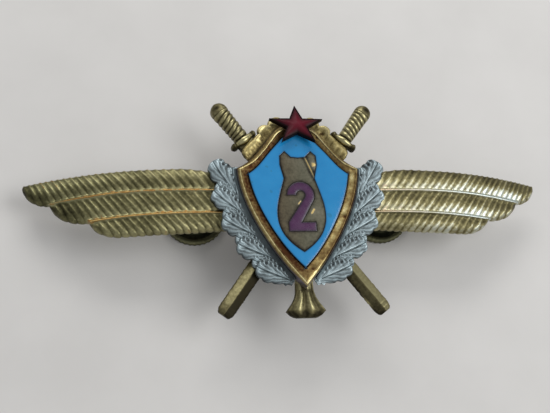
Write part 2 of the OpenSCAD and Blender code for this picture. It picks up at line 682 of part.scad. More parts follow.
// Rivet: a head on the back of the bridge and a shank into the shield
module rivet() {
    top = seat_z + rivet_bite;
    rotate_extrude($fn = round_fn) polygon([[0, -rivet_head_t], [0.6 * rivet_head_r, -rivet_head_t],
        [rivet_head_r, -0.3 * rivet_head_t], [rivet_head_r, 0], [rivet_r, 0], [rivet_r, top], [0, top]]);
}

module upper_rivet() {
    color("peru") translate([0, rivet_top_y, 0]) rivet();
}

module lower_rivet() {
    color("peru") translate([0, rivet_bottom_y, 0]) rivet();
}

// Stud: a soldered foot, a plain shoulder and the thread as a plain cylinder
stud_chamfer = 0.3;
module stud() {
    shoulder_r = stud_r + shoulder_step;
    shoulder_z = -foot_t - shoulder_l;
    rotate_extrude($fn = round_fn) polygon([[0, 0], [foot_r, 0], [foot_r, -0.6 * foot_t],
        [foot_r - 0.4 * foot_t, -foot_t], [shoulder_r, -foot_t], [shoulder_r, shoulder_z],
        [stud_r, shoulder_z], [stud_r, stud_chamfer - stud_l], [stud_r - stud_chamfer, -stud_l],
        [0, -stud_l]]);
}

module left_stud() {
    color(dark_brass) translate([-stud_span / 2, 0, 0]) stud();
}

module right_stud() {
    color(dark_brass) translate([stud_span / 2, 0, 0]) stud();
}

// Screw nut: the bush is staked through the disc, with its flange sunk in the disc's back
// The disc's back stands this far past the end of the stud
nut_proud = 0.1;
nut_z = -stud_l - nut_proud;
flange_t = 0.4;
flange_sink = flange_t + 2 * stake_gap;
collar_bevel = 0.2;
module nut_bush() {
    hole = stud_r + thread_gap;
    flange_top = stake_gap + flange_t;
    front = nut_t + stake_gap;
    collar_top = front + bush_collar_t;
    translate([0, 0, nut_z]) rotate_extrude($fn = round_fn) polygon([[hole, stake_gap],
        [bush_flange_r, stake_gap], [bush_flange_r, flange_top], [bush_r, flange_top], [bush_r, front],
        [bush_collar_r, front], [bush_collar_r, collar_top - collar_bevel],
        [bush_collar_r - collar_bevel, collar_top], [hole, collar_top]]);
}

module nut_disc() {
    rim = [for (k = [0:2 * nut_notches - 1]) let (a = 180 * k / nut_notches)
        (nut_r - (k % 2) * notch_depth) * [cos(a), sin(a)]];
    translate([0, 0, nut_z]) difference() {
        linear_extrude(nut_t) polygon(rim);
        translate([0, 0, -over]) {
            cylinder(r = bush_flange_r + stake_gap, h = over + flange_sink, $fn = round_fn);
            cylinder(r = bush_r + stake_gap, h = nut_t + 2 * over, $fn = round_fn);
        }
    }
}

module left_nut_bush() {
    color(dark_brass) translate([-stud_span / 2, 0, 0]) nut_bush();
}

module right_nut_bush() {
    color(dark_brass) translate([stud_span / 2, 0, 0]) nut_bush();
}

module left_nut_disc() {
    color(dark_brass) translate([-stud_span / 2, 0, 0]) nut_disc();
}

module right_nut_disc() {
    color(dark_brass) translate([stud_span / 2, 0, 0]) nut_disc();
}

wing_plate();
left_sword();
right_sword();
scroll_plate();
left_oak_branch();
right_oak_branch();
ribbon_bow();
shield();
shield_enamel();
numeral_enamel();
star();
star_enamel();
upper_rivet();
lower_rivet();
left_stud();
right_stud();
left_nut_bush();
right_nut_bush();
left_nut_disc();
right_nut_disc();
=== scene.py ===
# Looks of the winged aviation badge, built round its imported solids.
# Shapes are written in millimetres in the badge's own frame and become metres in add_piece.
import math

import bmesh
import bpy
import numpy as np
from mathutils import Euler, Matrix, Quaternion, Vector
from mathutils.geometry import delaunay_2d_cdt
from numpy.linalg import norm


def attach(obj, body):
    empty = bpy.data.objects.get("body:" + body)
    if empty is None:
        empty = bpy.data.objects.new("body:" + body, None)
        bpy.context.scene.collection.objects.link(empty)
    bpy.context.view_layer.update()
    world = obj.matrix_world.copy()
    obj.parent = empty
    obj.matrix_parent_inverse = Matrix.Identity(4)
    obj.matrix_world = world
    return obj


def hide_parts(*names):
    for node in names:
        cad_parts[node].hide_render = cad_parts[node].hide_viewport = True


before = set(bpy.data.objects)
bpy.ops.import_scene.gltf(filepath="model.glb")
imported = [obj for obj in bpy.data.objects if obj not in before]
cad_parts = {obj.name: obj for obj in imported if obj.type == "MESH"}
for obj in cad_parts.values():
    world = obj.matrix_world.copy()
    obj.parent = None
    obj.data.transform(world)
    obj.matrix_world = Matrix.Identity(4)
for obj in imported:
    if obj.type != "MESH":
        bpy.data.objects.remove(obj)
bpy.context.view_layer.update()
MM = 0.001
rng = np.random.default_rng(11)

# Heights shared by the pieces
PLATE_TOP = 0.8
SEAT_Z = 1.6
# Least and most of the dirt and painted light on a surface; below nought it is rubbed bright, and in places
# it stands for a painted highlight
DIRT_AND_LIGHT_RANGE = (-0.8, 1)


def mix(a, b, t):
    return a + (b - a) * t


def clamp(t):
    return np.clip(t, 0, 1)


def hump(t, centre, width):
    return np.exp(-(((t - centre) / width) ** 2))


def grid(x, y, z):
    """Points from coordinates spread over one another."""
    return np.stack(np.broadcast_arrays(x, y, z), axis=-1)


def joined(left, right):
    """One run of rows from two halves that start on the middle line."""
    return np.concatenate([left[:0:-1], right])


def along_table(table, extra):
    """A table's first column with more places added, and its other columns read there."""
    known, *columns = np.transpose(table)
    places = np.unique(np.concatenate([known, extra]))[:, None]
    return places, *(np.interp(places, known, column) for column in columns)


def turns(count):
    """Equal steps round a circle."""
    return np.linspace(0, 2 * np.pi, count, endpoint=False)


class Shape:
    """Points, faces and dirt with painted light of one piece, gathered from closed parts."""

    def __init__(self):
        self.points = []
        self.faces = []
        self.dirt_and_painted_light = []

    def add(self, points, faces, dirt_and_painted_light):
        base = sum(len(part) for part in self.points)
        self.points.append(points.reshape(-1, 3))
        self.faces += [tuple(base + i for i in face) for face in faces]
        self.dirt_and_painted_light.append(dirt_and_painted_light.reshape(-1))

    def moved(self, change):
        """The shape itself, after its points have passed through a function."""
        self.points = [change(points) for points in self.points]
        return self


def new_object(name, data):
    made = bpy.data.objects.new(name, data)
    bpy.context.scene.collection.objects.link(made)
    return made


def add_piece(name, shape, material, nodes, body="badge", sharp_angle=38):
    """One piece in metres, which rides on a body and stands for CAD nodes."""
    mesh = bpy.data.meshes.new(name)
    mesh.from_pydata((np.concatenate(shape.points) * MM).tolist(), [], shape.faces)
    build = bmesh.new()
    build.from_mesh(mesh)
    bmesh.ops.recalc_face_normals(build, faces=build.faces)
    build.to_mesh(mesh)
    build.free()
    dirt_and_painted_light = mesh.attributes.new("dirt_and_painted_light", "FLOAT", "POINT")
    dirt_and_painted_light.data.foreach_set("value", np.clip(np.concatenate(shape.dirt_and_painted_light), *DIRT_AND_LIGHT_RANGE).astype(np.float32))
    mesh.shade_smooth()
    mesh.set_sharp_from_angle(angle=math.radians(sharp_angle))
    mesh.materials.append(material)
    piece = new_object(name, mesh)
    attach(piece, body)
    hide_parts(*nodes)


def quads(index):
    """Faces between the neighbours in a grid of point numbers."""
    return np.stack([index[:-1, :-1], index[:-1, 1:], index[1:, 1:], index[1:, :-1]], axis=-1)


def add_shell(shape, cells, top, floor, dirt_and_painted_light):
    """Closed skin: cells on the top points, the same on the floor under them, walls along the rim."""
    back = top.copy()
    back[..., 2] = floor
    dirt_and_painted_light = np.broadcast_to(dirt_and_painted_light, top.shape[:-1]).reshape(-1)
    n = len(dirt_and_painted_light)
    edges = {edge for cell in cells for edge in zip(cell, cell[1:] + cell[:1])}
    walls = [(b, a, a + n, b + n) for a, b in sorted(edges) if (b, a) not in edges]
    faces = cells + [[n + i for i in reversed(cell)] for cell in cells] + walls
    used = sorted({i for face in faces for i in face})
    place = {i: k for k, i in enumerate(used)}
    faces = [[place[i] for i in face] for face in faces]
    points = np.concatenate([top.reshape(-1, 3), back.reshape(-1, 3)])[used]
    shape.add(points, faces, np.tile(dirt_and_painted_light, 2)[used])


def add_relief(shape, top, floor, dirt_and_painted_light, valid=None):
    """A closed relief from a grid of points; floor is the height of its back."""
    rows, columns = top.shape[:2]
    cells = quads(np.arange(rows * columns).reshape(rows, columns))
    cells = cells.reshape(-1, 4) if valid is None else cells[valid]
    add_shell(shape, cells.tolist(), top, floor, dirt_and_painted_light)


def add_rings(shape, rings, dirt_and_painted_light, whole=False):
    """A closed skin of equal rings of points, with end caps unless the last ring meets the first."""
    count, around = rings.shape[:2]
    index = np.arange(count * around).reshape(count, around)
    faces = quads(np.pad(index, ((0, int(whole)), (0, 1)), "wrap")).reshape(-1, 4).tolist()
    if not whole:
        faces += [index[0, ::-1].tolist(), index[-1].tolist()]
    shape.add(rings, faces, np.broadcast_to(dirt_and_painted_light, (count, around)))


# Outlines: points measured at a time, distance at which points are one, least area of a triangle
BATCH = 2000
MERGE_DISTANCE = 1e-7
LEAST_AREA = 1e-9


def smoothed(line, step):
    """Points along a line of corners, no further than step apart."""
    line = np.asarray(line, dtype=float)
    made = []
    for a, b in zip(line[:-1], line[1:]):
        count = max(1, math.ceil(norm(b - a) / step))
        made += [mix(a, b, k / count) for k in range(count)]
    return np.array(made + [line[-1]])


def both_sides(half):
    """A closed outline from its right half, which starts and ends on the middle line."""
    return np.concatenate([half, half[-2:0:-1] * [-1, 1]])


def inset(loop, distance):
    """A clockwise outline moved inwards, with mitred corners."""
    after = np.roll(loop, -1, axis=0) - loop
    after = after[:, ::-1] * [1, -1] / norm(after, axis=1, keepdims=True)
    before = np.roll(after, 1, axis=0)
    dot = np.sum(before * after, axis=1, keepdims=True)
    return loop + np.reshape(distance, (-1, 1)) * (before + after) / (1 + dot)


def distance_to(points, loops):
    """Distance from each point to the nearest of some closed outlines."""
    best = np.full(len(points), np.inf)
    for loop in loops:
        d = np.roll(loop, -1, axis=0) - loop
        length = np.sum(d * d, axis=1)
        for start in range(0, len(points), BATCH):
            batch = slice(start, start + BATCH)
            p = points[batch, None] - loop
            t = clamp(np.sum(p * d, axis=2) / length)
            gap = norm(p - t[..., None] * d, axis=2).min(axis=1)
            best[batch] = np.minimum(best[batch], gap)
    return best


def inside(points, loops):
    """True for each point within an odd number of closed outlines."""
    odd = np.zeros(len(points), dtype=bool)
    x, y = points[:, 0, None], points[:, 1, None]
    for loop in loops:
        ax, ay = loop[:, 0], loop[:, 1]
        bx, by = np.roll(ax, -1), np.roll(ay, -1)
        spans = (ay > y) != (by > y)
        cross = ax + (y - ay) * (bx - ax) / np.where(by == ay, 1e-12, by - ay)
        odd ^= np.sum(spans & (x < cross), axis=1) % 2 == 1
    return odd


def filled(loops, spacing, rings, extra):
    """Points, triangles and edge distances of a plane region between closed outlines."""
    rim = np.concatenate(loops)
    edges = []
    base = 0
    for loop in loops:
        edges += [(base + k, base + (k + 1) % len(loop)) for k in range(len(loop))]
        base += len(loop)
    points = [rim]
    # Points too near an outline or a ring are left out
    for ring in rings:
        for loop in loops:
            for side in (ring, -ring):
                near = inset(loop, side)
                points.append(near[inside(near, loops) & (distance_to(near, loops) > 0.93 * ring)])
    low, high = rim.min(axis=0), rim.max(axis=0)
    net = []
    for row, y in enumerate(np.arange(low[1], high[1], spacing * math.sqrt(0.75))):
        shift = 0.5 * spacing * (row % 2)
        net += [(x + shift, y) for x in np.arange(low[0], high[0], spacing)]
    net = np.array(net)
    net = net[inside(net, loops)]
    net = net[distance_to(net, loops) > (rings[-1] if rings else 0) + 0.5 * spacing]
    if len(extra):
        extra = extra[inside(extra, loops) & (distance_to(extra, loops) > 0.3 * spacing)]
        gaps = np.min(norm(net[:, None] - extra[None], axis=2), axis=1)
        net = net[gaps > 0.45 * spacing]
        points.append(extra)
    points.append(net)
    flat = [Vector(point) for point in np.concatenate(points)]
    made = delaunay_2d_cdt(flat, edges, [], 0, MERGE_DISTANCE)
    plan = np.array(made[0])
    triangles = np.array([face for face in made[2] if len(face) == 3])
    corners = plan[triangles]
    keep = inside(corners.mean(axis=1), loops)
    turn = np.cross(corners[:, 1] - corners[:, 0], corners[:, 2] - corners[:, 0])
    keep &= abs(turn) > LEAST_AREA
    triangles = np.where(turn[:, None] < 0, triangles[:, ::-1], triangles)[keep]
    return plan, triangles.tolist(), distance_to(plan, loops)


def add_slab(shape, loops, spacing, rings, low, surface, extra=()):
    """A closed slab over a plane region; surface gives height and dirt from points and edge distances."""
    plan, triangles, edge = filled(loops, spacing, rings, extra)
    z, dirt_and_painted_light = surface(plan, edge)
    add_shell(shape, triangles, np.column_stack([plan, z]), low, dirt_and_painted_light)


def fading(*terms):
    """A surface that changes near its edges: level, change and width of its height and of its dirt."""
    return lambda plan, edge: [level + change * np.exp(-edge / width) for level, change, width in terms]


# Materials


class Look:
    """Builds one node material."""

    def __init__(self, name):
        self.material = bpy.data.materials.new(name)
        self.material.use_nodes = True
        self.tree = self.material.node_tree
        self.tree.nodes.clear()
        self.place = self.node("TexCoord").outputs["Object"]
        self.shader = self.node("BsdfPrincipled")
        self.fill(self.node("OutputMaterial"), Surface=self.shader.outputs["BSDF"])

    def node(self, kind, **settings):
        made = self.tree.nodes.new("ShaderNode" + kind)
        for key, value in settings.items():
            setattr(made, key, value)
        return made

    def put(self, value, socket):
        if hasattr(value, "is_linked"):
            self.tree.links.new(value, socket)
        else:
            socket.default_value = value

    def fill(self, made, **values):
        """Puts values or links into a node's sockets, by name."""
        for key, value in values.items():
            self.put(value, made.inputs[key.replace("_", " ")])
        return made

    def feed(self, made, *values):
        """Puts values or links into a node's first sockets and gives its first output."""
        for value, socket in zip(values, made.inputs):
            self.put(value, socket)
        return made.outputs[0]

    def math(self, operation, *values):
        return self.feed(self.node("Math", operation=operation), *values)

    def noise(self, scale, detail=3, roughness=0.55):
        made = self.node("TexNoise")
        self.fill(made, Vector=self.place, Scale=scale, Detail=detail, Roughness=roughness)
        return made.outputs["Fac"]

    def dirt_and_painted_light(self):
        return self.node("Attribute", attribute_name="dirt_and_painted_light").outputs["Fac"]

    def component(self, vector, axis):
        return self.fill(self.node("SeparateXYZ"), Vector=vector).outputs[axis]

    def spread(self, value, from_low, from_high, to_low=0, to_high=1):
        return self.feed(self.node("MapRange"), value, from_low, from_high, to_low, to_high)

    def ramp(self, value, *stops):
        made = self.fill(self.node("ValToRGB"), Fac=value)
        points = made.color_ramp.elements
        while len(points) < len(stops):
            points.new(0.5)
        for point, (position, colour) in zip(points, stops):
            point.position = position
            point.color = rgb(colour)
        return made.outputs["Color"]

    def blend(self, factor, colour, tint, kind="MIX"):
        made = self.node("Mix", data_type="RGBA", blend_type=kind)
        for value, place in ((factor, 0), (colour, 6), (rgb(tint), 7)):
            self.put(value, made.inputs[place])
        return made.outputs[2]

    def bump(self, height, strength, distance):
        made = self.fill(self.node("Bump"), Height=height, Strength=strength, Distance=distance)
        self.fill(self.shader, Normal=made.outputs["Normal"])


def rgb(colour):
    """A colour written in screen values 0 to 255, as linear values."""
    c = [v / 255 for v in colour]
    return tuple(v / 12.92 if v <= 0.04045 else ((v + 0.055) / 1.055) ** 2.4 for v in c) + (1,)


def worn_metal(
    name, dark, middle, bright, rough, accent=None, crest=None, stain_and_painted_light=0.75, metal=1, fleck=0.3,
    cool=None, painted_glare=None, painted_wall_shade=None,
):
    """Plated metal: bright on ridges, dark in grooves, with patches of patina and fine grain."""
    look = Look(name)
    patches = look.noise(260, 4, 0.6)
    flecks = look.noise(2600, 3, 0.6)
    wear_and_painted_light = look.math("MULTIPLY_ADD", look.dirt_and_painted_light(), -stain_and_painted_light, 0.6)
    for spots, share in ((patches, 0.55), (flecks, fleck)):
        wear_and_painted_light = look.math("MULTIPLY_ADD", look.math("SUBTRACT", spots, 0.5), share, wear_and_painted_light)
    accent = accent or bright
    stops = ((0.04, dark), (0.4, middle), (0.73, bright), (0.88, accent), (1, crest or accent))
    colour = look.ramp(wear_and_painted_light, *stops)
    # Cool tints the left end, a pale painted highlight lies over the brightest parts on the right, and the
    # steep faces take a dull grey as painted shade
    if cool:
        low, high, tint = cool
        share = look.spread(look.component(look.place, "X"), low * MM, high * MM, 1, 0)
        colour = look.blend(share, colour, tint, "MULTIPLY")
    if painted_glare:
        low, high, tint = painted_glare
        share = look.spread(look.component(look.place, "X"), low * MM, high * MM)
        share = look.math("MULTIPLY", share, look.spread(wear_and_painted_light, 0.5, 0.85))
        colour = look.blend(share, colour, tint)
    if painted_wall_shade:
        normal = look.node("TexCoord").outputs["Normal"]
        steep = look.spread(look.component(normal, "Z"), 0.3, 0.55, 1, 0)
        colour = look.blend(steep, colour, painted_wall_shade)
    roughness = look.spread(wear_and_painted_light, 0.1, 0.75, rough[1], rough[0])
    look.fill(look.shader, Base_Color=colour, Metallic=metal, Roughness=roughness)
    look.bump(look.noise(5700, 4, 0.65), 0.25, 0.00003)
    return look.material


def enamel(name, deep, body, light, rough, speck=None, gloss=0.5):
    """Fired enamel: glossy, a little wavy, with cloudy colour and specks."""
    look = Look(name)
    cloud = look.noise(420, 3, 0.5)
    shade = look.math("MULTIPLY_ADD", look.dirt_and_painted_light(), -0.9, look.math("MULTIPLY_ADD", cloud, 0.5, 0.45))
    colour = look.ramp(shade, (0, deep), (0.55, body), (1, light))
    if speck:
        spots = look.math("GREATER_THAN", look.noise(900, 1, 0.4), 0.735)
        colour = look.blend(look.math("MULTIPLY", spots, 0.3), colour, speck)
    roughness = look.spread(look.noise(1500), 0.3, 0.7, *rough)
    look.fill(look.shader, Base_Color=colour, Roughness=roughness, IOR=1.52, Specular_IOR_Level=gloss)
    look.bump(look.noise(700, 2, 0.5), 0.08, 0.00008)
    return look.material


# The wings' pale right end is a painted highlight, and their cooler left end is painted shade
WING_GILT = worn_metal(
    "wing_gilt", (50, 46, 31), (116, 109, 76), (186, 176, 130), (0.38, 0.56), (176, 126, 68), (202, 168, 108),
    stain_and_painted_light=0.6, fleck=0.5, cool=(-38, 8, (206, 214, 214)), painted_glare=(6, 25, (200, 209, 203)),
)
# The rim's steep faces are painted dull grey as painted shade
RIM_GILT = worn_metal(
    "rim_gilt", (66, 41, 24), (128, 108, 68), (184, 167, 114), (0.32, 0.54), (216, 202, 150),
    fleck=0.75, painted_wall_shade=(118, 111, 116),
)
SCROLL_GILT = worn_metal(
    "scroll_gilt", (66, 52, 30), (152, 137, 90), (202, 188, 136), (0.34, 0.54), fleck=0.75
)
HILT_GILT = worn_metal("hilt_gilt", (46, 42, 30), (106, 99, 70), (168, 160, 118), (0.3, 0.55), fleck=0.45)
BOMB_BRONZE = worn_metal(
    "figure_bronze", (40, 36, 30), (88, 86, 70), (112, 108, 92), (0.45, 0.65), (196, 172, 112),
    metal=0.7, fleck=0.5, cool=(-3.6, 0.6, (255, 234, 220)),
)
SILVER = worn_metal(
    "silvered", (46, 49, 51), (98, 107, 108), (152, 167, 170), (0.4, 0.6), (188, 202, 204), metal=0.7
)
STAR_GILT = worn_metal("star_gilt", (30, 20, 20), (58, 42, 38), (104, 88, 64), (0.4, 0.6))
# Brass partly in its own dull colour and partly darkened as painted shade, for the studs and nut discs under
# the wings
SHADED_BRASS = worn_metal("dark_brass", (34, 36, 28), (88, 88, 66), (132, 128, 94), (0.4, 0.65))
COPPER = worn_metal("copper", (48, 26, 16), (140, 84, 56), (196, 128, 92), (0.3, 0.6))
BLUE = enamel("blue_enamel", (20, 62, 88), (26, 124, 180), (44, 142, 196), (0.1, 0.2), (36, 96, 100))
MAROON = enamel("maroon_enamel", (24, 10, 28), (62, 22, 62), (80, 34, 78), (0.2, 0.34))
RUBY = enamel("ruby_enamel", (16, 4, 8), (76, 3, 20), (112, 10, 36), (0.36, 0.5), gloss=0.12)

# Wings: three feather rows a side on a flat bridge

WING_ROOT = 8.5
FIRST_END = 36.24
HALF_SPAN = 37.5
ROW_END = (30.4, 33.7, FIRST_END)
EDGE_END = (ROW_END[0], *ROW_END)
EDGE_ROOT = (-4, -2.1, 1.15, 4.7)
EDGE_TIP = (-5.05, -2.9, -0.1, 3)
EDGE_CROWN = (0, 0.47, 0.6, 0.3)
TIP_LENGTH = (2.6, 4.4, 3.4)
TIP_POWER = 2.2
TIP_SHARE = 0.8
DROP_LENGTH = 4.5
DROP = 0.9
TIP_CORNER = 0.7
WING_T = 1.55
LEAST_T = 0.25
BEND_FROM = 19.3
BEND = 3
BARBS = 27
BARB_STEPS = 12
BARB_TIGHTEN = -0.22
BARB_ROUND = 2.4
BARB_NARROW = 0.2
BARB_DEPTH = 0.12
LEAN_ROOT = 0.66
LEAN_TIP = 0.42
LEAN_RISE = 0.3
SERRATION = 0.13
BRIDGE = (-8.2, 5.4)
ROOT_STEP = 0.5
# Across a feather row: place, height behind a quill, height behind a free edge, barb shares of both
ROW_PROFILE = (
    (0, 1, 0.44, 0, 0.7), (0.03, 0.99, 0.52, 0, 0.8), (0.06, 0.9, 0.6, 0, 0.9),
    (0.085, 0.79, 0.66, 0.3, 1), (0.115, 0.77, 0.71, 0.7, 1), (0.16, 0.79, 0.76, 1, 1),
    (0.22, 0.84, 0.82, 1, 1), (0.3, 0.895, 0.88, 1, 1), (0.4, 0.945, 0.94, 1, 1),
    (0.52, 0.96, 0.96, 1, 1), (0.64, 0.94, 0.94, 1, 1), (0.76, 0.89, 0.89, 1, 1),
    (0.86, 0.85, 0.85, 0.95, 0.95), (0.92, 0.86, 0.86, 0.5, 0.5), (0.955, 0.92, 0.92, 0, 0),
    (0.98, 0.985, 0.985, 0, 0),
)
# The last places of the top row, which end in the free upper edge
UPPER_EDGE = {0.86: (0.8, 1), 0.92: (0.74, 1), 0.955: (0.66, 1), 0.98: (0.58, 0.9), 1: (0.46, 0.8)}


def edge_line(f, c):
    t = (c - WING_ROOT) / (EDGE_END[f] - WING_ROOT)
    y = mix(EDGE_ROOT[f], EDGE_TIP[f], t) + EDGE_CROWN[f] * 4 * t * (1 - t)
    if f == 3:
        y = y - DROP * clamp(1 - (c - WING_ROOT) / DROP_LENGTH) ** 2
        corner = clamp((c - FIRST_END + TIP_CORNER) / TIP_CORNER)
        y = y - 0.7 * TIP_CORNER * (1 - np.sqrt(1 - corner**2))
    return y


def row_edge(f, c):
    if f == 3:
        return edge_line(3, c)
    t = clamp((c - ROW_END[f] + TIP_LENGTH[f]) / TIP_LENGTH[f])
    rise = TIP_SHARE * (1 - (1 - t**TIP_POWER) ** (1 / TIP_POWER))
    return mix(edge_line(f, c), row_edge(f + 1, c), rise)


def back_z(x):
    return -BEND * (np.maximum(0, abs(x) - BEND_FROM) / (HALF_SPAN - BEND_FROM)) ** 2


def barb_wave(share, v):
    """Broad rounded barbs in the lower part of a row, narrow ridges in its upper part."""
    broad = 1 - abs(2 * share - 1) ** BARB_ROUND
    return mix(broad, hump(share, 0.5, BARB_NARROW), clamp((v - 0.25) / 0.3))


def wing_half(side):
    """Top points, dirt with painted light, and first rows of one wing, from the middle line outwards."""
    each = len(ROW_PROFILE)
    profile = ROW_PROFILE * 3 + ((1, 0, 0, 0, 0),)
    rows = len(profile)
    columns = BARBS * BARB_STEPS
    c = np.linspace(WING_ROOT, FIRST_END, columns + 1)
    t = (c - WING_ROOT) / (FIRST_END - WING_ROOT)
    lean = mix(LEAN_ROOT, LEAN_TIP, t) + LEAN_RISE * 4 * t * (1 - t)
    thick = WING_T * mix(1, 0.8, t)
    top = np.zeros((columns + 3, rows, 3))
    dirt_and_painted_light = np.zeros((columns + 3, rows))
    first = np.zeros(columns + 3, dtype=int)
    lines = [row_edge(f, c) for f in range(4)]
    turn = BARBS * np.log(1 + BARB_TIGHTEN * t) / math.log(1 + BARB_TIGHTEN)
    barb = np.minimum(np.floor(turn).astype(int), BARBS - 1)
    strengths = rng.uniform(0.8, 1.08, (3, BARBS))
    tones = rng.uniform(-0.1, 0.1, (3, BARBS))
    for row, (v, behind, free, cut, free_cut) in enumerate(profile):
        f = min(2, row // each)
        open_share = 1 if f == 0 else clamp((c - ROW_END[f - 1] + 0.1) / 0.5)
        height = mix(behind, free, open_share)
        ridge = mix(cut, free_cut, open_share)
        if f == 2 and v in UPPER_EDGE:
            height, ridge = UPPER_EDGE[v]
        wave = barb_wave(turn - np.floor(turn), v) * strengths[f][barb]
        serration = SERRATION * (wave - 0.6)
        y = mix(lines[f], lines[f + 1], v) - serration * open_share * clamp(1 - v / 0.3)
        if f == 2:
            y = y + 0.5 * serration * clamp((v - 0.8) / 0.2)
        end = clamp((c - ROW_END[f] + 0.7) / 0.7)
        roll = 1 - 0.42 * end**2 * (1 if f == 2 else clamp((1 - v) / 0.1))
        z = thick * height * roll - BARB_DEPTH * ridge * (1 - wave)
        x = np.minimum(c + lean * y, HALF_SPAN)
        top[2:, row] = grid(x, y, np.maximum(z, LEAST_T) + back_z(x))
        quill = hump(v, 0, 0.04) * (1 - open_share) + hump(v, 1, 0.04) * (v < 1)
        # Painted light: on the right wing the upper part of each row is painted in shade and a painted
        # highlight band lies across its lower part
        if side > 0:
            shade = 0.2 * clamp((v - 0.4) / 0.3)
            highlight_band = 0.4 * hump(v, 0.18, 0.2) * mix(0.5, 1, t)
        else:
            # On the left the first row is painted darker below and lighter above, the rows darken towards
            # their tips, a painted glint sits where each quill ends, and a warm painted highlight runs above
            # each quill
            shade = mix(0.2, -0.2, clamp((v - 0.35) / 0.3)) if f == 2 else 0.08
            shade = shade + 0.3 * clamp((c - ROW_END[f] + 3) / 2) * (f > 0)
            shade = shade - 0.8 * hump(c, ROW_END[f] - 0.4, 0.5) * hump(v, 0.9, 0.12) * (f < 2)
            highlight_band = 0.5 * hump(v, 0.08, 0.11) * (0.8 + 0.3 * np.sin(23 * t + 2 * f) * np.cos(9 * t - f))
        groove = 0.45 * ridge * np.maximum(0, 1 - wave)
        painted_highlight = highlight_band * (1 - 0.6 * open_share)
        dirt_and_painted_light[2:, row] = groove + shade + tones[f][barb] - painted_highlight - 0.45 * quill
    steps = np.arange(columns + 1)
    ends = [int((end - WING_ROOT) / (FIRST_END - WING_ROOT) * columns) for end in ROW_END[:2]]
    first[2:] = each * sum(steps > end for end in ends)
    top[1] = top[2] - [ROOT_STEP, 0, 0]
    top[0, :, 1] = np.linspace(*BRIDGE, rows)
    top[:2, :, 2] = PLATE_TOP
    dirt_and_painted_light[:2] = 0.5
    return top * [side, 1, 1], dirt_and_painted_light, first


wing_halves = zip(wing_half(-1), wing_half(1))
wing_top, wing_dirt_and_painted_light, wing_first = (joined(left, right) for left, right in wing_halves)
wing_start = np.maximum(wing_first[:-1], wing_first[1:])
wing_valid = np.arange(wing_top.shape[1] - 1) >= wing_start[:, None]
wings = Shape()
add_relief(wings, wing_top, back_z(wing_top[..., 0]), wing_dirt_and_painted_light, wing_valid)
add_piece("wings", wings, WING_GILT, ["wing_plate"], sharp_angle=50)

# Shield: outline and rim

CROWN_R = 4.3
SHIELD_W = 16.8
CORNER_Y = 3.8
TIP_Y = -12.8
CROWN_Y = SHIELD_W / 2 + CORNER_Y - CROWN_R * math.sqrt(2)
SIDE_POWER = 1.7
SHOULDER = 0.5
RIM_W = 1.32
ENAMEL_GAP = 0.02
CLEAR = 0.3


def side_point(f):
    return np.stack([SHIELD_W / 2 * (1 - f**SIDE_POWER), mix(CORNER_Y, TIP_Y, f)], axis=-1)


def shoulder_dip(t):
    """How far the shield's straight upper edge is hollowed, from the crown to the corner."""
    return SHOULDER * 5.38 * t**1.5 * (1 - t)


arc = np.radians(np.linspace(0, 45, 25))
crown = np.column_stack([CROWN_R * np.sin(arc), CROWN_Y + CROWN_R * np.cos(arc)])
slope = smoothed([crown[-1], side_point(0)], 0.2)
slope = slope - shoulder_dip(np.linspace(0, 1, len(slope)))[:, None] * math.sqrt(0.5)
flank = side_point(np.linspace(0, 1, 90))
shield_outline = both_sides(np.concatenate([crown[:-1], slope[:-1], flank]))
# Rim section: inset, height above the shield's back, dirt
RIM_SECTION = (
    (-0.28, 0, 0.4), (-0.28, 0.6, 0.4), (-0.26, 0.95, 0.35), (-0.2, 1.17, 0.3), (-0.12, 1.36, 0.25),
    (-0.03, 1.5, 0.15), (0.05, 1.6, 0.05), (0.12, 1.67, -0.2), (0.18, 1.7, -0.4), (0.24, 1.67, -0.15),
    (0.31, 1.61, 0.2), (0.42, 1.57, 0.32), (0.55, 1.54, 0.3), (0.7, 1.51, 0.28), (0.85, 1.47, 0.3),
    (1, 1.42, 0.33), (1.13, 1.35, 0.42), (1.25, 1.25, 0.6), (1.32, 1.1, 0.9),
)
RIM_TOP = 1.7
# Painted shade darkens the slope inside the left flank, and the slope is darker towards the tip
LEFT_PAINTED_SHADE = 0.4
LOW_DARKENING = 0.2
# On the right flank the slope carries a patchy painted highlight and the ridge painted shade
SLOPE_PAINTED_HIGHLIGHT = 0.55
RIDGE_PAINTED_SHADE = 0.85
# The ridge lies further in on the upper edges
RIDGE_SHIFT = 0.22
# The rim is wider at the lower tip and narrower along the upper edges
TIP_WIDENING = 0.4
EDGE_NARROWING = 0.28


def ring_noise(count, waves, strength):
    """A smooth closed run of small random values."""
    turn = turns(count)
    made = np.zeros(count)
    for wave in waves:
        made += rng.uniform(0.5, 1) * np.sin(wave * turn + rng.uniform(0, 2 * np.pi))
    return strength * made / len(waves)


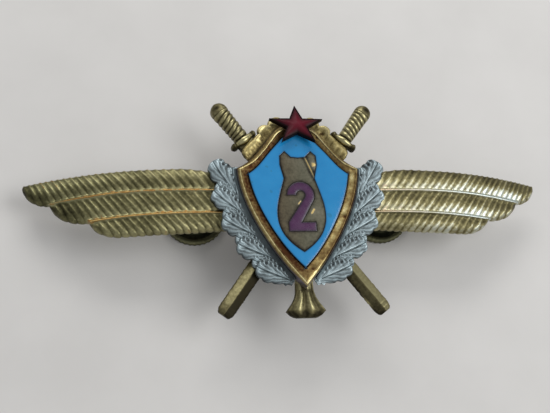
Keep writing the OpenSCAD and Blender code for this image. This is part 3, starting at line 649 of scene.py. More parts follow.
rim_y = shield_outline[:, 1]
rim_upper = clamp((rim_y - CORNER_Y - 0.3) / 0.8)
rim_tip = hump(rim_y, TIP_Y, 1.6)
rim_widening = TIP_WIDENING * hump(rim_y, TIP_Y, 3) - EDGE_NARROWING * hump(rim_y, 6.5, 1.8)
rim_dents = ring_noise(len(rim_y), (7, 13, 23, 31, 47), 0.11)
rim_pits = np.maximum(0, ring_noise(len(rim_y), (29, 37, 53), 1) - 0.25)
rim_patches = clamp(0.55 + rim_dents / 0.06)
rim_rings = []
rim_dirt_and_painted_light = []
for step_in, height, stain_and_painted_light in RIM_SECTION:
    crest = clamp((height - 1.4) / 0.3)
    valley = hump(step_in, 0.55, 0.25)
    shift = RIDGE_SHIFT * rim_upper * hump(step_in, 0.18, 0.25) + rim_widening * clamp(step_in / RIM_W)
    flare = 1 - 0.7 * rim_tip * (step_in < 0)
    x, y = inset(shield_outline, step_in * flare + shift + 0.35 * crest * rim_dents).T
    z = np.minimum(height + crest * rim_dents * 0.4 - 0.16 * valley * rim_pits, RIM_TOP)
    rim_rings.append(grid(x, y, SEAT_Z + z))
    # Painted shade on the left slope and on the right flank's ridge, a painted highlight on the right flank's
    # slope, and darker towards the tip
    tone_and_painted_light = LEFT_PAINTED_SHADE * clamp(-x / 2) + LOW_DARKENING * clamp((-4 - y) / 4)
    tone_and_painted_light = tone_and_painted_light * hump(step_in, 0.8, 0.4)
    flank_share = clamp(x / 2) * clamp((CORNER_Y - y) / 0.8) * clamp((y + 11) / 3)
    tone_and_painted_light = tone_and_painted_light + flank_share * RIDGE_PAINTED_SHADE * hump(step_in, 0.1, 0.24)
    tone_and_painted_light = tone_and_painted_light - flank_share * SLOPE_PAINTED_HIGHLIGHT * hump(step_in, 0.75, 0.35) * rim_patches
    rim_dirt_and_painted_light.append(stain_and_painted_light + 0.9 * valley * rim_pits + tone_and_painted_light)
shield_rim = Shape()
add_rings(shield_rim, np.array(rim_rings), np.array(rim_dirt_and_painted_light))
add_piece("shield_rim", shield_rim, RIM_GILT, ["shield"], sharp_angle=60)

# Bomb figure

BOMB_TOP = SEAT_Z + 1.55
BED_Z = SEAT_Z + 0.95
BOMB_ROOT = BED_Z - 0.3
# Corners of the curve from the fins to the lower tip
BELLY = np.array([(2.15, 2.4), (3, -0.8), (5.2, -4.8), (0, -8.05)])
fins = smoothed([(0, 5.4), (1, 5.5), (1.85, 6.35), (2.55, 5.7), (2.6, 4.4), (2.15, 2.4)], 0.2)
t = np.linspace(0, 1, 60)[:, None]
belly = (1 - t) ** 3 * BELLY[0] + 3 * t * (1 - t) ** 2 * BELLY[1]
belly = belly + 3 * t**2 * (1 - t) * BELLY[2] + t**3 * BELLY[3]
bomb_outline = both_sides(np.concatenate([fins[:-1], belly]))
# Numeral two
NUMERAL_R = 1.9
STROKE = 1.25
BOW_Y = -0.05
BAR_TOP = -3.95
FOOT = -5.2
SLANT_FOOT = -0.0875
NUMERAL_STEP = 0.18
bow = np.radians(np.linspace(180, -38, 40))
bow_ways = np.column_stack([np.cos(bow), np.sin(bow)])
outer_bow = bow_ways * NUMERAL_R + [0, BOW_Y]
inner_bow = bow_ways * (NUMERAL_R - STROKE) + [0, BOW_Y]
bar = [(SLANT_FOOT, BAR_TOP), (NUMERAL_R, BAR_TOP), (NUMERAL_R, FOOT)]
bar += [(-NUMERAL_R, FOOT), (-NUMERAL_R, BAR_TOP)]
numeral_foot = smoothed([outer_bow[-1], *bar, inner_bow[-1]], NUMERAL_STEP)
numeral_start = smoothed([inner_bow[0], outer_bow[0]], NUMERAL_STEP)
numeral_outline = np.concatenate([outer_bow[:-1], numeral_foot[:-1], inner_bow[:0:-1], numeral_start[:-1]])

FIN_LINE = np.array([(0.95, 5.45), (2.1, 2.5)])
SCRATCHES = np.array([[(-0.36, -1.32), (-0.04, -0.94)], [(1.42, -2.62), (1.72, -2.12)]])
# Rubbed patches of the figure: place, radius, strength
RUBBED = ((2.2, 4.3, 0.5, 0.9), (2.2, -2.7, 0.9, 0.3), (-2.5, -3.2, 0.8, -0.15))


def bomb_surface(plan, edge):
    to_edge = distance_to(plan, [bomb_outline])
    to_numeral = distance_to(plan, [numeral_outline])
    fin = distance_to(plan, [FIN_LINE])
    other = distance_to(plan * [-1, 1], [FIN_LINE])
    z = BOMB_TOP - 0.14 * np.exp(-to_edge / 0.12) - 0.05 * np.exp(-to_numeral / 0.1)
    crest = 0.1 * hump(fin, 0, 0.1) - 0.08 * hump(fin, 0.28, 0.12) - 0.06 * hump(other, 0, 0.12)
    stain_and_painted_light = 0.9 * np.exp(-to_edge / 0.14) + 0.9 * np.exp(-to_numeral / 0.14) + 0.45 * hump(fin, 0.3, 0.14)
    stain_and_painted_light = stain_and_painted_light + 0.25 - 0.9 * hump(fin, 0, 0.1)
    for scratch in SCRATCHES:
        stain_and_painted_light = stain_and_painted_light - 1.1 * hump(distance_to(plan, [scratch]), 0, 0.12)
    for x, y, radius, strength in RUBBED:
        stain_and_painted_light = stain_and_painted_light - strength * hump(norm(plan - [x, y], axis=1), 0, radius)
    return np.minimum(z + crest, BOMB_TOP + 0.06), stain_and_painted_light


fin_points = []
for shift in (-0.28, -0.12, 0, 0.12, 0.28):
    line = smoothed(FIN_LINE, 0.15) + [shift, 0]
    fin_points += [line, line * [-1, 1]]
for scratch in SCRATCHES:
    line = smoothed(scratch, 0.08)
    fin_points += [line + [shift, -shift] for shift in (-0.12, -0.06, 0, 0.06, 0.12)]
bomb = Shape()
bomb_loops = [bomb_outline, inset(numeral_outline, -ENAMEL_GAP)]
add_slab(bomb, bomb_loops, 0.28, (0.06, 0.16), BOMB_ROOT, bomb_surface, np.concatenate(fin_points))
add_piece("bomb_figure", bomb, BOMB_BRONZE, ["shield"])

# Enamels of the field and the numeral

blue = Shape()
blue_loops = [inset(shield_outline, RIM_W + ENAMEL_GAP + rim_widening), inset(bomb_outline, -ENAMEL_GAP)]
blue_surface = fading((BED_Z + 0.5, -0.03, 0.2), (0, 0.95, 0.09))
add_slab(blue, blue_loops, 0.3, (0.06, 0.16, 0.32), BED_Z, blue_surface)
add_piece("field_enamel", blue, BLUE, ["shield_enamel"])
numeral = Shape()
numeral_surface = fading((BOMB_TOP, -0.04, 0.15), (0, 0.95, 0.13))
add_slab(numeral, [numeral_outline], 0.2, (0.05, 0.14, 0.26), BOMB_TOP - 0.35, numeral_surface)
add_piece("numeral_two", numeral, MAROON, ["numeral_enamel"])

# Star, leaning back on the shield's rounded top

STAR_Y = CROWN_Y + CROWN_R - 0.55
STAR_Z = SEAT_Z + 1.75
STAR_TILT = math.radians(-12)
STAR_T = 0.7
STAR_EDGE = 0.12
STAR_FLOOR = 0.25
STAR_LIFT = 0.005
STAR_STEP = 0.15
STAR_RADII = (3.996, 3.262)
STAR_HOLLOW = 0.4
RUBY_EDGE = STAR_T - 0.06
RUBY_RISE = 0.34
star_turn = np.radians(90 - 36 * np.arange(10))
star_reach = np.where(np.arange(10) % 2, STAR_HOLLOW, 1)[:, None]
star_corners = star_reach * STAR_RADII * np.column_stack([np.cos(star_turn), np.sin(star_turn)])


def closed(corners, step):
    return smoothed(np.concatenate([corners, corners[:1]]), step)[:-1]


def star_place(points):
    x, y, z = points.T
    c, s = math.cos(STAR_TILT), math.sin(STAR_TILT)
    return grid(x, STAR_Y + y * c - z * s, STAR_Z + y * s + z * c)


star = Shape()
star_loops = [closed(inset(star_corners, step_in), STAR_STEP) for step_in in (0, STAR_EDGE)]
add_slab(star, star_loops, 0.2, (0.06,), 0, fading((STAR_T, -0.08, 0.05), (0.4, 0.3, 0.06)))
# The floor reaches into the raised edge and lies a little above its back
star_floor = [closed(inset(star_corners, STAR_EDGE / 2), STAR_STEP)]
add_slab(star, star_floor, 0.4, (), STAR_LIFT, fading((STAR_FLOOR, 0, 1), (0, 0, 1)))
add_piece("star_plate", star.moved(star_place), STAR_GILT, ["star"])
star_wet = inset(star_corners, STAR_EDGE + ENAMEL_GAP)
spokes = np.array([corner * t for corner in star_wet for t in np.linspace(0, 0.96, 26)])
ruby = Shape()
ruby_surface = fading((RUBY_EDGE + RUBY_RISE, -RUBY_RISE, 0.55), (0, 0.75, 0.3))
add_slab(ruby, [closed(star_wet, 0.12)], 0.16, (0.05, 0.13), STAR_FLOOR, ruby_surface, spokes)
add_piece("star_ruby", ruby.moved(star_place), RUBY, ["star_enamel"])

# Swords

CROSS_Y = -1.1
SWORD_ANGLE = 53.3
BLADE_HALF = 1.2
BLADE_ACROSS = np.array([0, 0.06, 0.2, 0.5, 0.8, 0.94, 1])
GUARD_FROM = 11.56
GUARD_L = 0.9
GUARD_HALF = 2.1
GUARD_T = 1.44
GRIP_FROM = 12.44
GRIP_TO = 17.3
GRIP_HALF = 1.22
GRIP_T = 1.6
GRIP_RIBS = 7
GRIP_LEAD = 0.4
POMMEL = (17.2, 18.65)


def sword_strip(shape, side):
    """Blade and flat tang with the half lap at the crossing; the lower facet is darkened as painted shade."""
    low, high = (0.4, 0.8) if side > 0 else (0, 0.4)
    # Place along the sword, width, height of the back, of the edges and of the ridge
    stations = [
        (-18.7, 0.62, 0, 0.36, 0.6), (-18.5, 0.8, 0, 0.34, 0.72), (-18, 0.96, 0, 0.32, 0.8),
        (-17.4, 1, 0, 0.3, 0.8), (-8.8, 1, 0, 0.3, 0.8), (-8.5, 1, 0, 0.8, 0.8),
        (-3.3, 1, 0, 0.8, 0.8), (-3, 1, low, high, high), (3, 1, low, high, high),
        (3.3, 1, 0, 0.8, 0.8), (11.6, 1, 0, 0.8, 0.8),
    ]
    places, width, floor, edge, crest = along_table(stations, np.arange(-18.6, -8.8, 0.15))
    nick = 0.02 * rng.standard_normal((len(places), 1))
    across = joined(-BLADE_ACROSS, BLADE_ACROSS)
    away = abs(across)
    drop = np.where(away > 0.97, 0.1, 0) * (crest - edge > 0.1)
    y = across * (BLADE_HALF * width + nick * (away > 0.9))
    top = grid(places, y, mix(edge, crest, 1 - away**1.05) - drop)
    lower = clamp(-side * across / 0.1)
    stain_and_painted_light = 0.25 * away**4 + 0.6 * lower + 0.2 * clamp((-16.5 - places) / 2) - 0.1
    # A painted glint runs along one edge near the tip
    stain_and_painted_light = stain_and_painted_light - 0.7 * hump(places, -16.2, 0.9) * (side * across < -0.9)
    # The right sword's blade is darkened all over as painted shade
    if side > 0:
        stain_and_painted_light = stain_and_painted_light + mix(0.25, 0.35, lower)
    add_relief(shape, top, floor, stain_and_painted_light)


def hilt(shape, side):
    # Guard with a boss in the middle and a ball on each end
    across = np.linspace(-1, 1, 61)[:, None]
    away = abs(across)
    boss = hump(across, 0, 0.5)
    swell = np.maximum(hump(away, 0.8, 0.16), boss)
    close = np.sqrt(np.maximum(0.02, 1 - clamp((away - 0.82) / 0.18) ** 2))
    long = GUARD_L * (0.4 + 0.1 * swell + 0.25 * boss) * close
    tall = GUARD_T * (0.75 + 0.25 * swell) * mix(0.5, 1, close)
    turn = np.linspace(0, np.pi, 21)
    x = GUARD_FROM + GUARD_L / 2 + long * np.cos(turn)
    top = grid(x, GUARD_HALF * across, tall * mix(0.4, 1, np.sin(turn) ** 0.85))
    stain_and_painted_light = 0.45 * clamp((away - 0.35) / 0.3) + 0.3 * abs(np.cos(turn)) ** 3
    add_relief(shape, top, 0, stain_and_painted_light - 0.1 - 0.3 * boss)
    # Grip with slanting ribs
    places = np.linspace(GRIP_FROM, GRIP_TO, 141)[:, None]
    turn = np.linspace(0, np.pi, 33)
    share = (places - GRIP_FROM) / (GRIP_TO - GRIP_FROM)
    lead = side * GRIP_LEAD * np.minimum(1, np.minimum(4 * share, 4 * (1 - share)))
    phase = GRIP_RIBS * (places - lead * np.cos(turn) - GRIP_FROM) / (GRIP_TO - GRIP_FROM)
    rib = abs(np.sin(np.pi * phase)) ** 0.8
    swell = 0.9 + 0.1 * rib
    y = GRIP_HALF * mix(0.86, 1, share) * swell * np.cos(turn)
    top = grid(places, y, GRIP_T * swell * mix(0.36, 1, np.sin(turn) ** 0.85))
    # The grooves between the ribs are darker; the right grip is painted lighter and the left one darker as
    # painted light
    add_relief(shape, top, 0, 0.75 * (1 - rib) ** 1.3 - (0.15 if side > 0 else -0.05))
    # Pommel: the grip's rounded end, with a dark hollow on its top
    places = np.linspace(*POMMEL, 25)[:, None]
    turn = np.linspace(0, np.pi, 25)
    share = (places - POMMEL[0]) / (POMMEL[1] - POMMEL[0])
    round_end = np.sqrt(np.maximum(0.03, 1 - share**2.4))
    hollow = hump(share, 0.5, 0.3) * hump(np.cos(turn), -0.25 * side, 0.5)
    tall = GRIP_T * mix(0.4, 1, round_end) - 0.15 * hollow
    top = grid(places, GRIP_HALF * round_end * np.cos(turn), tall * mix(0.38, 1, np.sin(turn) ** 0.85))
    add_relief(shape, top, 0, 0.15 + 0.65 * hollow)


def sword_place(points, side):
    angle = math.radians(SWORD_ANGLE if side > 0 else 180 - SWORD_ANGLE)
    c, s = math.cos(angle), math.sin(angle)
    x, y, z = points.T
    return grid(x * c - y * s, CROSS_Y + x * s + y * c, PLATE_TOP + z)


for side, name in ((-1, "left_sword"), (1, "right_sword")):
    sword = Shape()
    sword_strip(sword, side)
    hilt(sword, side)
    sword.moved(lambda points: sword_place(points, side))
    add_piece(name + "_dressed", sword, HILT_GILT, [name])

# Scroll beside the star

SCROLL_T = 0.75
# The scroll ends at this share of the straight edge
SCROLL_END = 0.7
# Lobes of the scroll: share of the straight edge, reach, half width, hollowness, squareness
SCROLL_LOBES = (
    (0.48, 1.72, 1.6, 0, 4), (0.26, 1.7, 1, 0.5, 3), (0.07, 2.25, 1, 1, 2.6),
    (-0.16, 2.1, 0.95, 0.2, 2.4),
)
BAND_OUT = 0.8
PIT_STEP = 1.05
PIT_DEPTH = 0.16
# Across the scroll from the shield outwards: share, height and dirt of a hollow lobe and of a full one
SCROLL_SECTION = (
    (0, 0.4, 0.7, 0.4, 0.7), (0.07, 0.41, 0.6, 0.46, 0.5), (0.2, 0.43, 0.5, 0.7, 0.25),
    (0.35, 0.47, 0.45, 0.87, 0.15), (0.48, 0.58, 0.35, 0.96, 0.1), (0.58, 0.73, 0.15, 1, 0.12),
    (0.67, 0.87, 0.05, 1, 0.15), (0.75, 0.96, 0, 0.98, 0.18), (0.82, 1, -0.05, 0.94, 0.2),
    (0.88, 0.97, 0, 0.87, 0.2), (0.94, 0.86, 0, 0.76, 0.15), (0.98, 0.68, 0.2, 0.62, 0.25),
    (1, 0.5, 0.4, 0.5, 0.4),
)


def scroll_relief():
    """Top points and dirt of the scroll, from its left end to its right one."""
    edge = side_point(0) - crown[-1]
    length = norm(edge)
    way = edge / length
    arc = np.radians(np.linspace(0, 45, 30))
    ways = np.column_stack([np.sin(arc), np.cos(arc)])
    run = np.linspace(0, SCROLL_END * length, 100)[1:]
    inner = np.concatenate([[0, CROWN_Y] + CROWN_R * ways, crown[-1] + run[:, None] * way])
    out = np.concatenate([ways, np.broadcast_to([-way[1], way[0]], (len(run), 2))])
    place = np.concatenate([CROWN_R * (arc - arc[-1]), run])
    reach = np.full(len(place), BAND_OUT)
    hollow = np.zeros(len(place))
    for share, far, half, deep, square in SCROLL_LOBES:
        bulge = np.sqrt(np.maximum(0, 1 - abs((place - share * length) / half) ** square))
        lobe = BAND_OUT + (far - BAND_OUT) * bulge
        hollow = np.where(lobe > reach, deep * bulge, hollow)
        reach = np.maximum(reach, lobe)
    start = CLEAR - shoulder_dip(clamp(place / length))
    pits = 0.5 - 0.5 * np.cos(2 * np.pi * place / PIT_STEP)
    inner, out = (joined(half * [-1, 1], half)[:, None] for half in (inner, out))
    reach, hollow, start, pits = (joined(half, half)[:, None] for half in (reach, hollow, start, pits))
    share, hollow_z, hollow_dirt, full_z, full_dirt = np.transpose(SCROLL_SECTION)
    away = start + share * (reach - start)
    x, y = np.moveaxis(inner + away[..., None] * out, -1, 0)
    swell = mix(0.7, 1, clamp((reach - BAND_OUT) / 0.6))
    pits = pits * hump(share, 0.36, 0.18)
    height = mix(full_z, hollow_z, hollow) - PIT_DEPTH * pits
    dirt_and_painted_light = mix(full_dirt, hollow_dirt, hollow) + 0.5 * (1 - swell) + 0.4 * pits
    return grid(x, y, SEAT_Z + SCROLL_T * height * swell), dirt_and_painted_light


scroll = Shape()
scroll_top, scroll_dirt = scroll_relief()
add_relief(scroll, scroll_top, SEAT_Z, scroll_dirt)
add_piece("scroll", scroll, SCROLL_GILT, ["scroll_plate"])

# Oak branches

LEAF_L = 5.3
LEAF_W = 3.3
LEAF_COUNT = 5
FIRST_ANGLE = 57
LAST_ANGLE = 22
ANGLE_POWER = 2.5
# Part of the shield's side that carries leaves, and how far out of it they start
BRANCH_SPAN = (0.187, 0.93)
LEAF_OUT = 0.6
LEAF_LIFT = 0.34
LEAF_STAGGER = 0.06
LAST_SIZE = 0.94
# Place along the branch and angle of the leaf in the corner at its top
TOP_LEAF = (0.13, 82)
TOP_LIFT = 0.12
LOBES = 3.4
LOBE_SWEEP = 0.5
CREASE = 0.2
VEIN_SWEEP = 2.2
BEADS = 8
BEAD_LINE = 0.74
UNDER_SIZE = 0.77
UNDER_TURN = 4
UNDER_LIFT = 0.1
BRANCH_T = 1.05
# The flat backs of the band and the leaves lie this much apart
BACK_STEP = 0.005
# The leaves reach into the band by this share of their length
LEAF_ROOT = -0.1
# Band beside the shield: its points along the side, then distance from its inner edge and height
BAND_POINTS = 82
BAND_SECTION = ((0, 1.05), (0.12, 0.84), (0.3, 0.54), (0.55, 0.38), (0.85, 0.3), (1.2, 0.26), (1.5, 0.22))
LEAF_ACROSS = np.array(
    [0, 0.03, 0.06, 0.1, 0.14, 0.19, 0.26, 0.35, 0.45, 0.56, 0.67, 0.78, 0.87, 0.94, 0.98, 1]
)


def crease_at(phase):
    """One along the creases between two lobes, where the phase is a whole number."""
    return hump(phase - np.round(phase), 0, CREASE)


def clear_of_shield(x, y):
    """X of plan points after they have moved out of the shield."""
    side = side_point(clamp((CORNER_Y - y) / (CORNER_Y - TIP_Y)))[..., 0]
    side = np.where(y > CORNER_Y, SHIELD_W / 2 + CORNER_Y - y, side)
    return np.maximum(x, side + CLEAR)


def leaf(shape, base, angle, size, lift, stagger, root_painted_light, level):
    """A wide oak leaf: swelling lobes with creases between them, a raised midrib and a blunt tip."""
    u = np.linspace(LEAF_ROOT, 1, 97)[:, None]
    s = joined(-LEAF_ACROSS, LEAF_ACROSS)
    away = abs(s)
    shift = stagger * np.sign(s)
    vein = crease_at(LOBES * u - VEIN_SWEEP * away + shift)
    vein = vein * clamp((away - 0.06) / 0.2) * clamp((0.97 - u) / 0.1)
    notch = crease_at(LOBES * u - LOBE_SWEEP + shift)
    envelope = mix(0.45, 1, clamp(u / 0.5) ** 0.8) * np.sqrt(1 - clamp((u - 0.5) / 0.5) ** 2.4)
    half = size * LEAF_W / 2 * np.maximum(0.12, envelope * (1 - 0.14 * notch))
    beads = np.sin(np.pi * BEADS * u) ** 2
    bead = beads * hump(s, BEAD_LINE, 0.2)
    gap = (1 - beads) * hump(s, BEAD_LINE, 0.25)
    knob = hump(u, 0.9, 0.08)
    midrib = hump(away, 0, 0.06)
    groove = hump(s, -0.14, 0.05)
    pillow = np.sin(np.pi * clamp(0.08 + 0.84 * away)) ** 0.7
    relief = 0.32 * pillow - 0.1 * vein + 0.1 * bead - 0.12 * gap + 0.08 * knob
    z = 0.26 + relief + 0.18 * midrib - 0.08 * groove
    z = z * mix(0.65, 1, clamp(u / 0.3)) + lift * u - 0.14 * clamp((u - 0.92) / 0.08) ** 2
    along = size * LEAF_L * u + 0.22 * away * half
    across = half * s
    cos, sin = math.cos(angle), math.sin(angle)
    x = base[0] + along * cos - across * sin
    y = base[1] + along * sin + across * cos
    top = grid(clear_of_shield(x, y), y, SEAT_Z + np.clip(z, 0.06, BRANCH_T))
    dirt_and_painted_light = 0.35 * vein + 0.6 * gap + 0.35 * groove - 0.2 * bead - 0.25 * knob
    dirt_and_painted_light = dirt_and_painted_light + 0.3 * clamp((away - 0.88) / 0.12) - 0.35 * midrib
    dirt_and_painted_light = dirt_and_painted_light + root_painted_light * (1 - clamp(u / 0.3))
    add_relief(shape, top, SEAT_Z + BACK_STEP * level, dirt_and_painted_light)


def branch(painted_in_shade):
    """The right branch, or the left one with its painted shade before it is mirrored."""
    shape = Shape()
    # Painted shade darkens the roots of the left leaves, and painted light brightens the roots of the right
    # ones
    root_painted_light = 0.15 if painted_in_shade else -0.3
    start = len(crown) + len(slope) - 2
    side = inset(shield_outline, -CLEAR)[start : start + BAND_POINTS]
    tangent = np.gradient(side, axis=0)
    tangent /= norm(tangent, axis=1, keepdims=True)
    away, height = np.transpose(BAND_SECTION)
    x = side[:, :1] - away * tangent[:, 1:]
    y = side[:, 1:] + away * tangent[:, :1]
    # The left band carries painted shade that grows towards the bottom; the right band is darker next to the
    # rim and lighter further out
    if painted_in_shade:
        down = np.linspace(0, 1, len(side))[:, None]
        stain_and_painted_light = mix(0.25, 0.1, clamp(away / 0.9)) + 0.36 * down
    else:
        stain_and_painted_light = mix(0.35, -0.1, clamp(away / 0.5))
    add_relief(shape, grid(x, y, SEAT_Z + height), SEAT_Z, stain_and_painted_light)
    fan = [TOP_LEAF]
    for t in np.linspace(0, 1, LEAF_COUNT):
        fan.append((t, mix(FIRST_ANGLE, LAST_ANGLE, 1 - (1 - t) ** ANGLE_POWER)))
    # Place, angle, size, lift and stagger of each leaf
    leaves = []
    for k, (t, angle) in enumerate(fan):
        lift = LEAF_LIFT if k else TOP_LIFT
        leaves.append((t, angle, mix(1, LAST_SIZE, t), lift, LEAF_STAGGER * (-1) ** k))
    # Smaller leaves that fill the notches lie under the large ones
    for t, angle in (np.array(fan[1:-1]) + fan[2:]) / 2:
        leaves.append((t, angle - UNDER_TURN, UNDER_SIZE, UNDER_LIFT, 0))
    for level, (t, angle, *form) in enumerate(leaves, 1):
        base = side_point(mix(*BRANCH_SPAN, t)) + [CLEAR + LEAF_OUT, 0]
        leaf(shape, base, math.radians(angle), *form, root_painted_light, level)
    return shape


right_branch = branch(False)
left_branch = branch(True).moved(lambda points: points * [-1, 1, 1])
add_piece("right_branch", right_branch, SILVER, ["right_oak_branch"], sharp_angle=45)
add_piece("left_branch", left_branch, SILVER, ["left_oak_branch"], sharp_angle=45)

# Ribbon under the shield: place along it, width, thickness and depth of the folds
RIBBON = (
    (-16.7, 2.6, 0.7, 0.06), (-16.6, 3.4, 0.86, 0.12), (-16.34, 4.4, 0.98, 0.18), (-15.8, 5.4, 1.1, 0.26),
    (-15.2, 4.5, 1.15, 0.3), (-14.6, 3.6, 1.15, 0.32), (-14, 2.95, 1.12, 0.32), (-13.4, 2.6, 1.02, 0.28),
    (-12.9, 2.5, 0.8, 0.2), (-12.2, 2.45, 0.74, 0.12), (-11.6, 2.4, 0.74, 0), (-7.4, 2.4, 0.74, 0),
)
places, width, thick, fold = along_table(RIBBON, np.linspace(-16.7, -11.6, 70))
across = np.linspace(-0.5, 0.5, 81)
ripple = (0.5 + 0.5 * np.cos(2 * np.pi * (2.5 * across - 0.4) + 0.5 * np.sin(6 * across))) ** 0.8
side_roll = 0.25 * clamp((abs(across) - 0.44) / 0.06) ** 2 * (fold > 0.06)
ribbon_top = grid(across * width, places, PLATE_TOP + thick - fold * (1 - ripple) - side_roll)
ribbon_dirt = 0.5 * (1 - ripple) * clamp(fold / 0.2) + 0.55 * clamp((-15.5 - places) / 0.8)
ribbon = Shape()
add_relief(ribbon, ribbon_top, PLATE_TOP, ribbon_dirt)
add_piece("ribbon", ribbon, HILT_GILT, ["ribbon_bow"])

# Turned pieces on the back

RIVETS = (("upper_rivet", 3.6), ("lower_rivet", -6.2))
RIVET_TOP = SEAT_Z + 0.6
STUD_X = 13.7
STUD_Z = (-6.2, -1.45)
THREAD_PITCH = 0.45
THREAD_R = 1.25
THREAD_DEPTH = 0.2
THREAD_AROUND = 48
THREAD_STEPS = 6
NUT_Z = -6.3
NOTCHES = 40
NOTCH_DEPTH = 0.09
# Profiles: radius and height, the nuts' from the height of their faces
STUD_FOOT = [
    (0.05, 0), (2.4, 0), (2.38, -0.15), (2.28, -0.28), (2.05, -0.36), (1.72, -0.4), (1.56, -0.5),
    (1.5, -0.62), (1.5, -1.42), (1.42, -1.5), (1.2, -1.5), (1.2, -1.6), (0.05, -1.6),
]
STUD_DIRT = [0.5, 0.6, 0.4, 0.4, 0.6, 0.8, 0.8, 0.4, 0.3, 0.4, 0.7, 0.8, 0.8]
DISC = [
    (2.13, 1), (2.13, 0.46), (2.83, 0.46), (2.83, 0.06), (2.95, 0), (3.5, 0), (3.6, 0.05), (3.7, 0),
    (4.3, 0), (4.52, 0.1), (4.6, 0.25), (4.6, 0.75), (4.52, 0.9), (4.3, 1), (3.9, 1), (3.78, 0.93),
    (3.2, 0.93), (3.05, 1),
]
DISC_DIRT = [0.6, 0.9, 0.9, 0.7, 0.2, 0.3, 0.9, 0.3, 0.2, 0.1, 0.2, 0.2, 0.1, 0.2, 0.4, 0.7, 0.7, 0.4]
BUSH = [
    (1.29, 0.06), (1.4, 0.03), (2.66, 0.03), (2.8, 0.1), (2.8, 0.43), (2.1, 0.43), (2.1, 1.03), (2.5, 1.03),
    (2.5, 1.72), (2.44, 1.86), (2.3, 1.93), (1.45, 1.93), (1.29, 1.8),
]


def round_points(centre, radius, turn, z):
    return grid(centre[0] + radius * np.cos(turn), centre[1] + radius * np.sin(turn), z)


def lathe(shape, profile, centre, segments, base=0, dirt_and_painted_light=0, whole=False, notches=0):
    """A closed turned solid; it has a bore where its profile is a whole loop."""
    turn = turns(segments)
    radius, z = np.transpose(profile)[..., None]
    if notches:
        edge = clamp((radius - 4.2) / 0.3)
        radius = radius - NOTCH_DEPTH * edge * (0.5 - 0.5 * np.cos(notches * turn)) ** 0.8
    add_rings(shape, round_points(centre, radius, turn, base + z), np.reshape(dirt_and_painted_light, (-1, 1)), whole)


def thread(shape, centre, low, high):
    """A helical thread as one closed skin, which narrows at its lower end."""
    turn = turns(THREAD_AROUND)
    z = np.linspace(low, high, int((high - low) / THREAD_PITCH * THREAD_STEPS) + 1)[:, None]
    phase = z / THREAD_PITCH - turn / (2 * np.pi)
    saw = abs(2 * (phase - np.floor(phase)) - 1)
    radius = THREAD_R - THREAD_DEPTH * saw - 0.25 * (1 - clamp((z - low) / 0.3))
    add_rings(shape, round_points(centre, radius, turn, z), 0.8 * saw)


for name, y in RIVETS:
    rivet = Shape()
    arc = np.radians(np.linspace(90, 5, 14))
    dome = [(max(0.05, np.cos(a)), -0.05 - 0.3 * np.sin(a)) for a in arc]
    lathe(rivet, dome + [(1, 0), (0.6, 0), (0.6, RIVET_TOP), (0.05, RIVET_TOP)], (0, y), 96)
    add_piece(name + "_dressed", rivet, COPPER, [name])
for side, name in ((-1, "left"), (1, "right")):
    centre = (side * STUD_X, 0)
    stud = Shape()
    lathe(stud, STUD_FOOT, centre, 64, dirt_and_painted_light=STUD_DIRT)
    thread(stud, centre, *STUD_Z)
    add_piece(name + "_stud_dressed", stud, SHADED_BRASS, [name + "_stud"])
    disc = Shape()
    lathe(disc, DISC, centre, NOTCHES * 8, NUT_Z, DISC_DIRT, True, NOTCHES)
    add_piece(name + "_disc_dressed", disc, SHADED_BRASS, [name + "_nut_disc"], name + "_nut")
    bush = Shape()
    lathe(bush, BUSH, centre, 72, NUT_Z, whole=True)
    add_piece(name + "_bush_dressed", bush, COPPER, [name + "_nut_bush"], name + "_bush")

# Floor and light

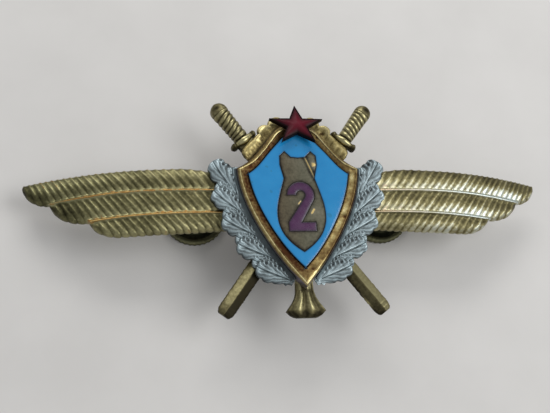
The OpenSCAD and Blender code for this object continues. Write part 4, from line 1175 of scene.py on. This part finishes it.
FLOOR_Z = -6.32
FLOOR_REACH = 600
floor_mesh = bpy.data.meshes.new("floor")
floor_corners = np.array([(-1, -1), (1, -1), (1, 1), (-1, 1)]) * FLOOR_REACH
floor_mesh.from_pydata([(x * MM, y * MM, FLOOR_Z * MM) for x, y in floor_corners], [], [(0, 1, 2, 3)])
floor = new_object("floor", floor_mesh)
floor_look = Look("floor")
floor_colour = floor_look.ramp(floor_look.noise(60, 4), (0.3, (205, 202, 197)), (0.7, (212, 209, 204)))
floor_look.fill(floor_look.shader, Base_Color=floor_colour, Roughness=0.7)
floor_mesh.materials.append(floor_look.material)


def soft_lamp(name, direction, distance, size, power, colour=(255, 255, 255)):
    lamp = bpy.data.lights.new(name, "AREA")
    lamp.shape = "RECTANGLE"
    lamp.size, lamp.size_y = size[0] * MM, size[1] * MM
    lamp.energy = power
    lamp.color = rgb(colour)[:3]
    holder = new_object(name, lamp)
    way = Vector(direction).normalized()
    holder.location = way * distance * MM
    holder.rotation_mode = "QUATERNION"
    holder.rotation_quaternion = way.to_track_quat("Z", "Y")


soft_lamp("window", (0.58, -0.03, 0.81), 330, (190, 190), 0.45, (250, 252, 255))
soft_lamp("back_window", (-0.05, 0.78, 0.62), 330, (260, 110), 0.4)
world = bpy.data.worlds.new("studio")
bpy.context.scene.world = world
world.use_nodes = True
sky = world.node_tree.nodes["Background"]
sky.inputs["Color"].default_value = rgb((226, 228, 232))
sky.inputs["Strength"].default_value = 0.62

# Camera: angles in radians, distance from the target
AZIMUTH = -0.58209
ELEVATION = 1.20608
ROLL = 0.5473
DISTANCE = 132.07
TARGET = Vector((-3.0225, -0.6961, 0))
FOCAL_PIXELS = 949.3
IMAGE_WIDTH = 550
SENSOR = 36
optics = bpy.data.cameras.new("camera")
optics.sensor_width = SENSOR
optics.sensor_fit = "HORIZONTAL"
optics.lens = FOCAL_PIXELS / IMAGE_WIDTH * SENSOR
optics.clip_start = 0.005
optics.clip_end = 5
camera = new_object("camera", optics)
camera_turn = Euler((math.pi / 2 - ELEVATION, 0, AZIMUTH)).to_quaternion()
camera_away = camera_turn @ Vector((0, 0, DISTANCE))
camera.rotation_mode = "QUATERNION"
camera.rotation_quaternion = camera_turn @ Quaternion((0, 0, 1), ROLL)
camera.location = (TARGET + camera_away) * MM
bpy.context.scene.camera = camera
bpy.context.scene.view_settings.view_transform = "Standard"
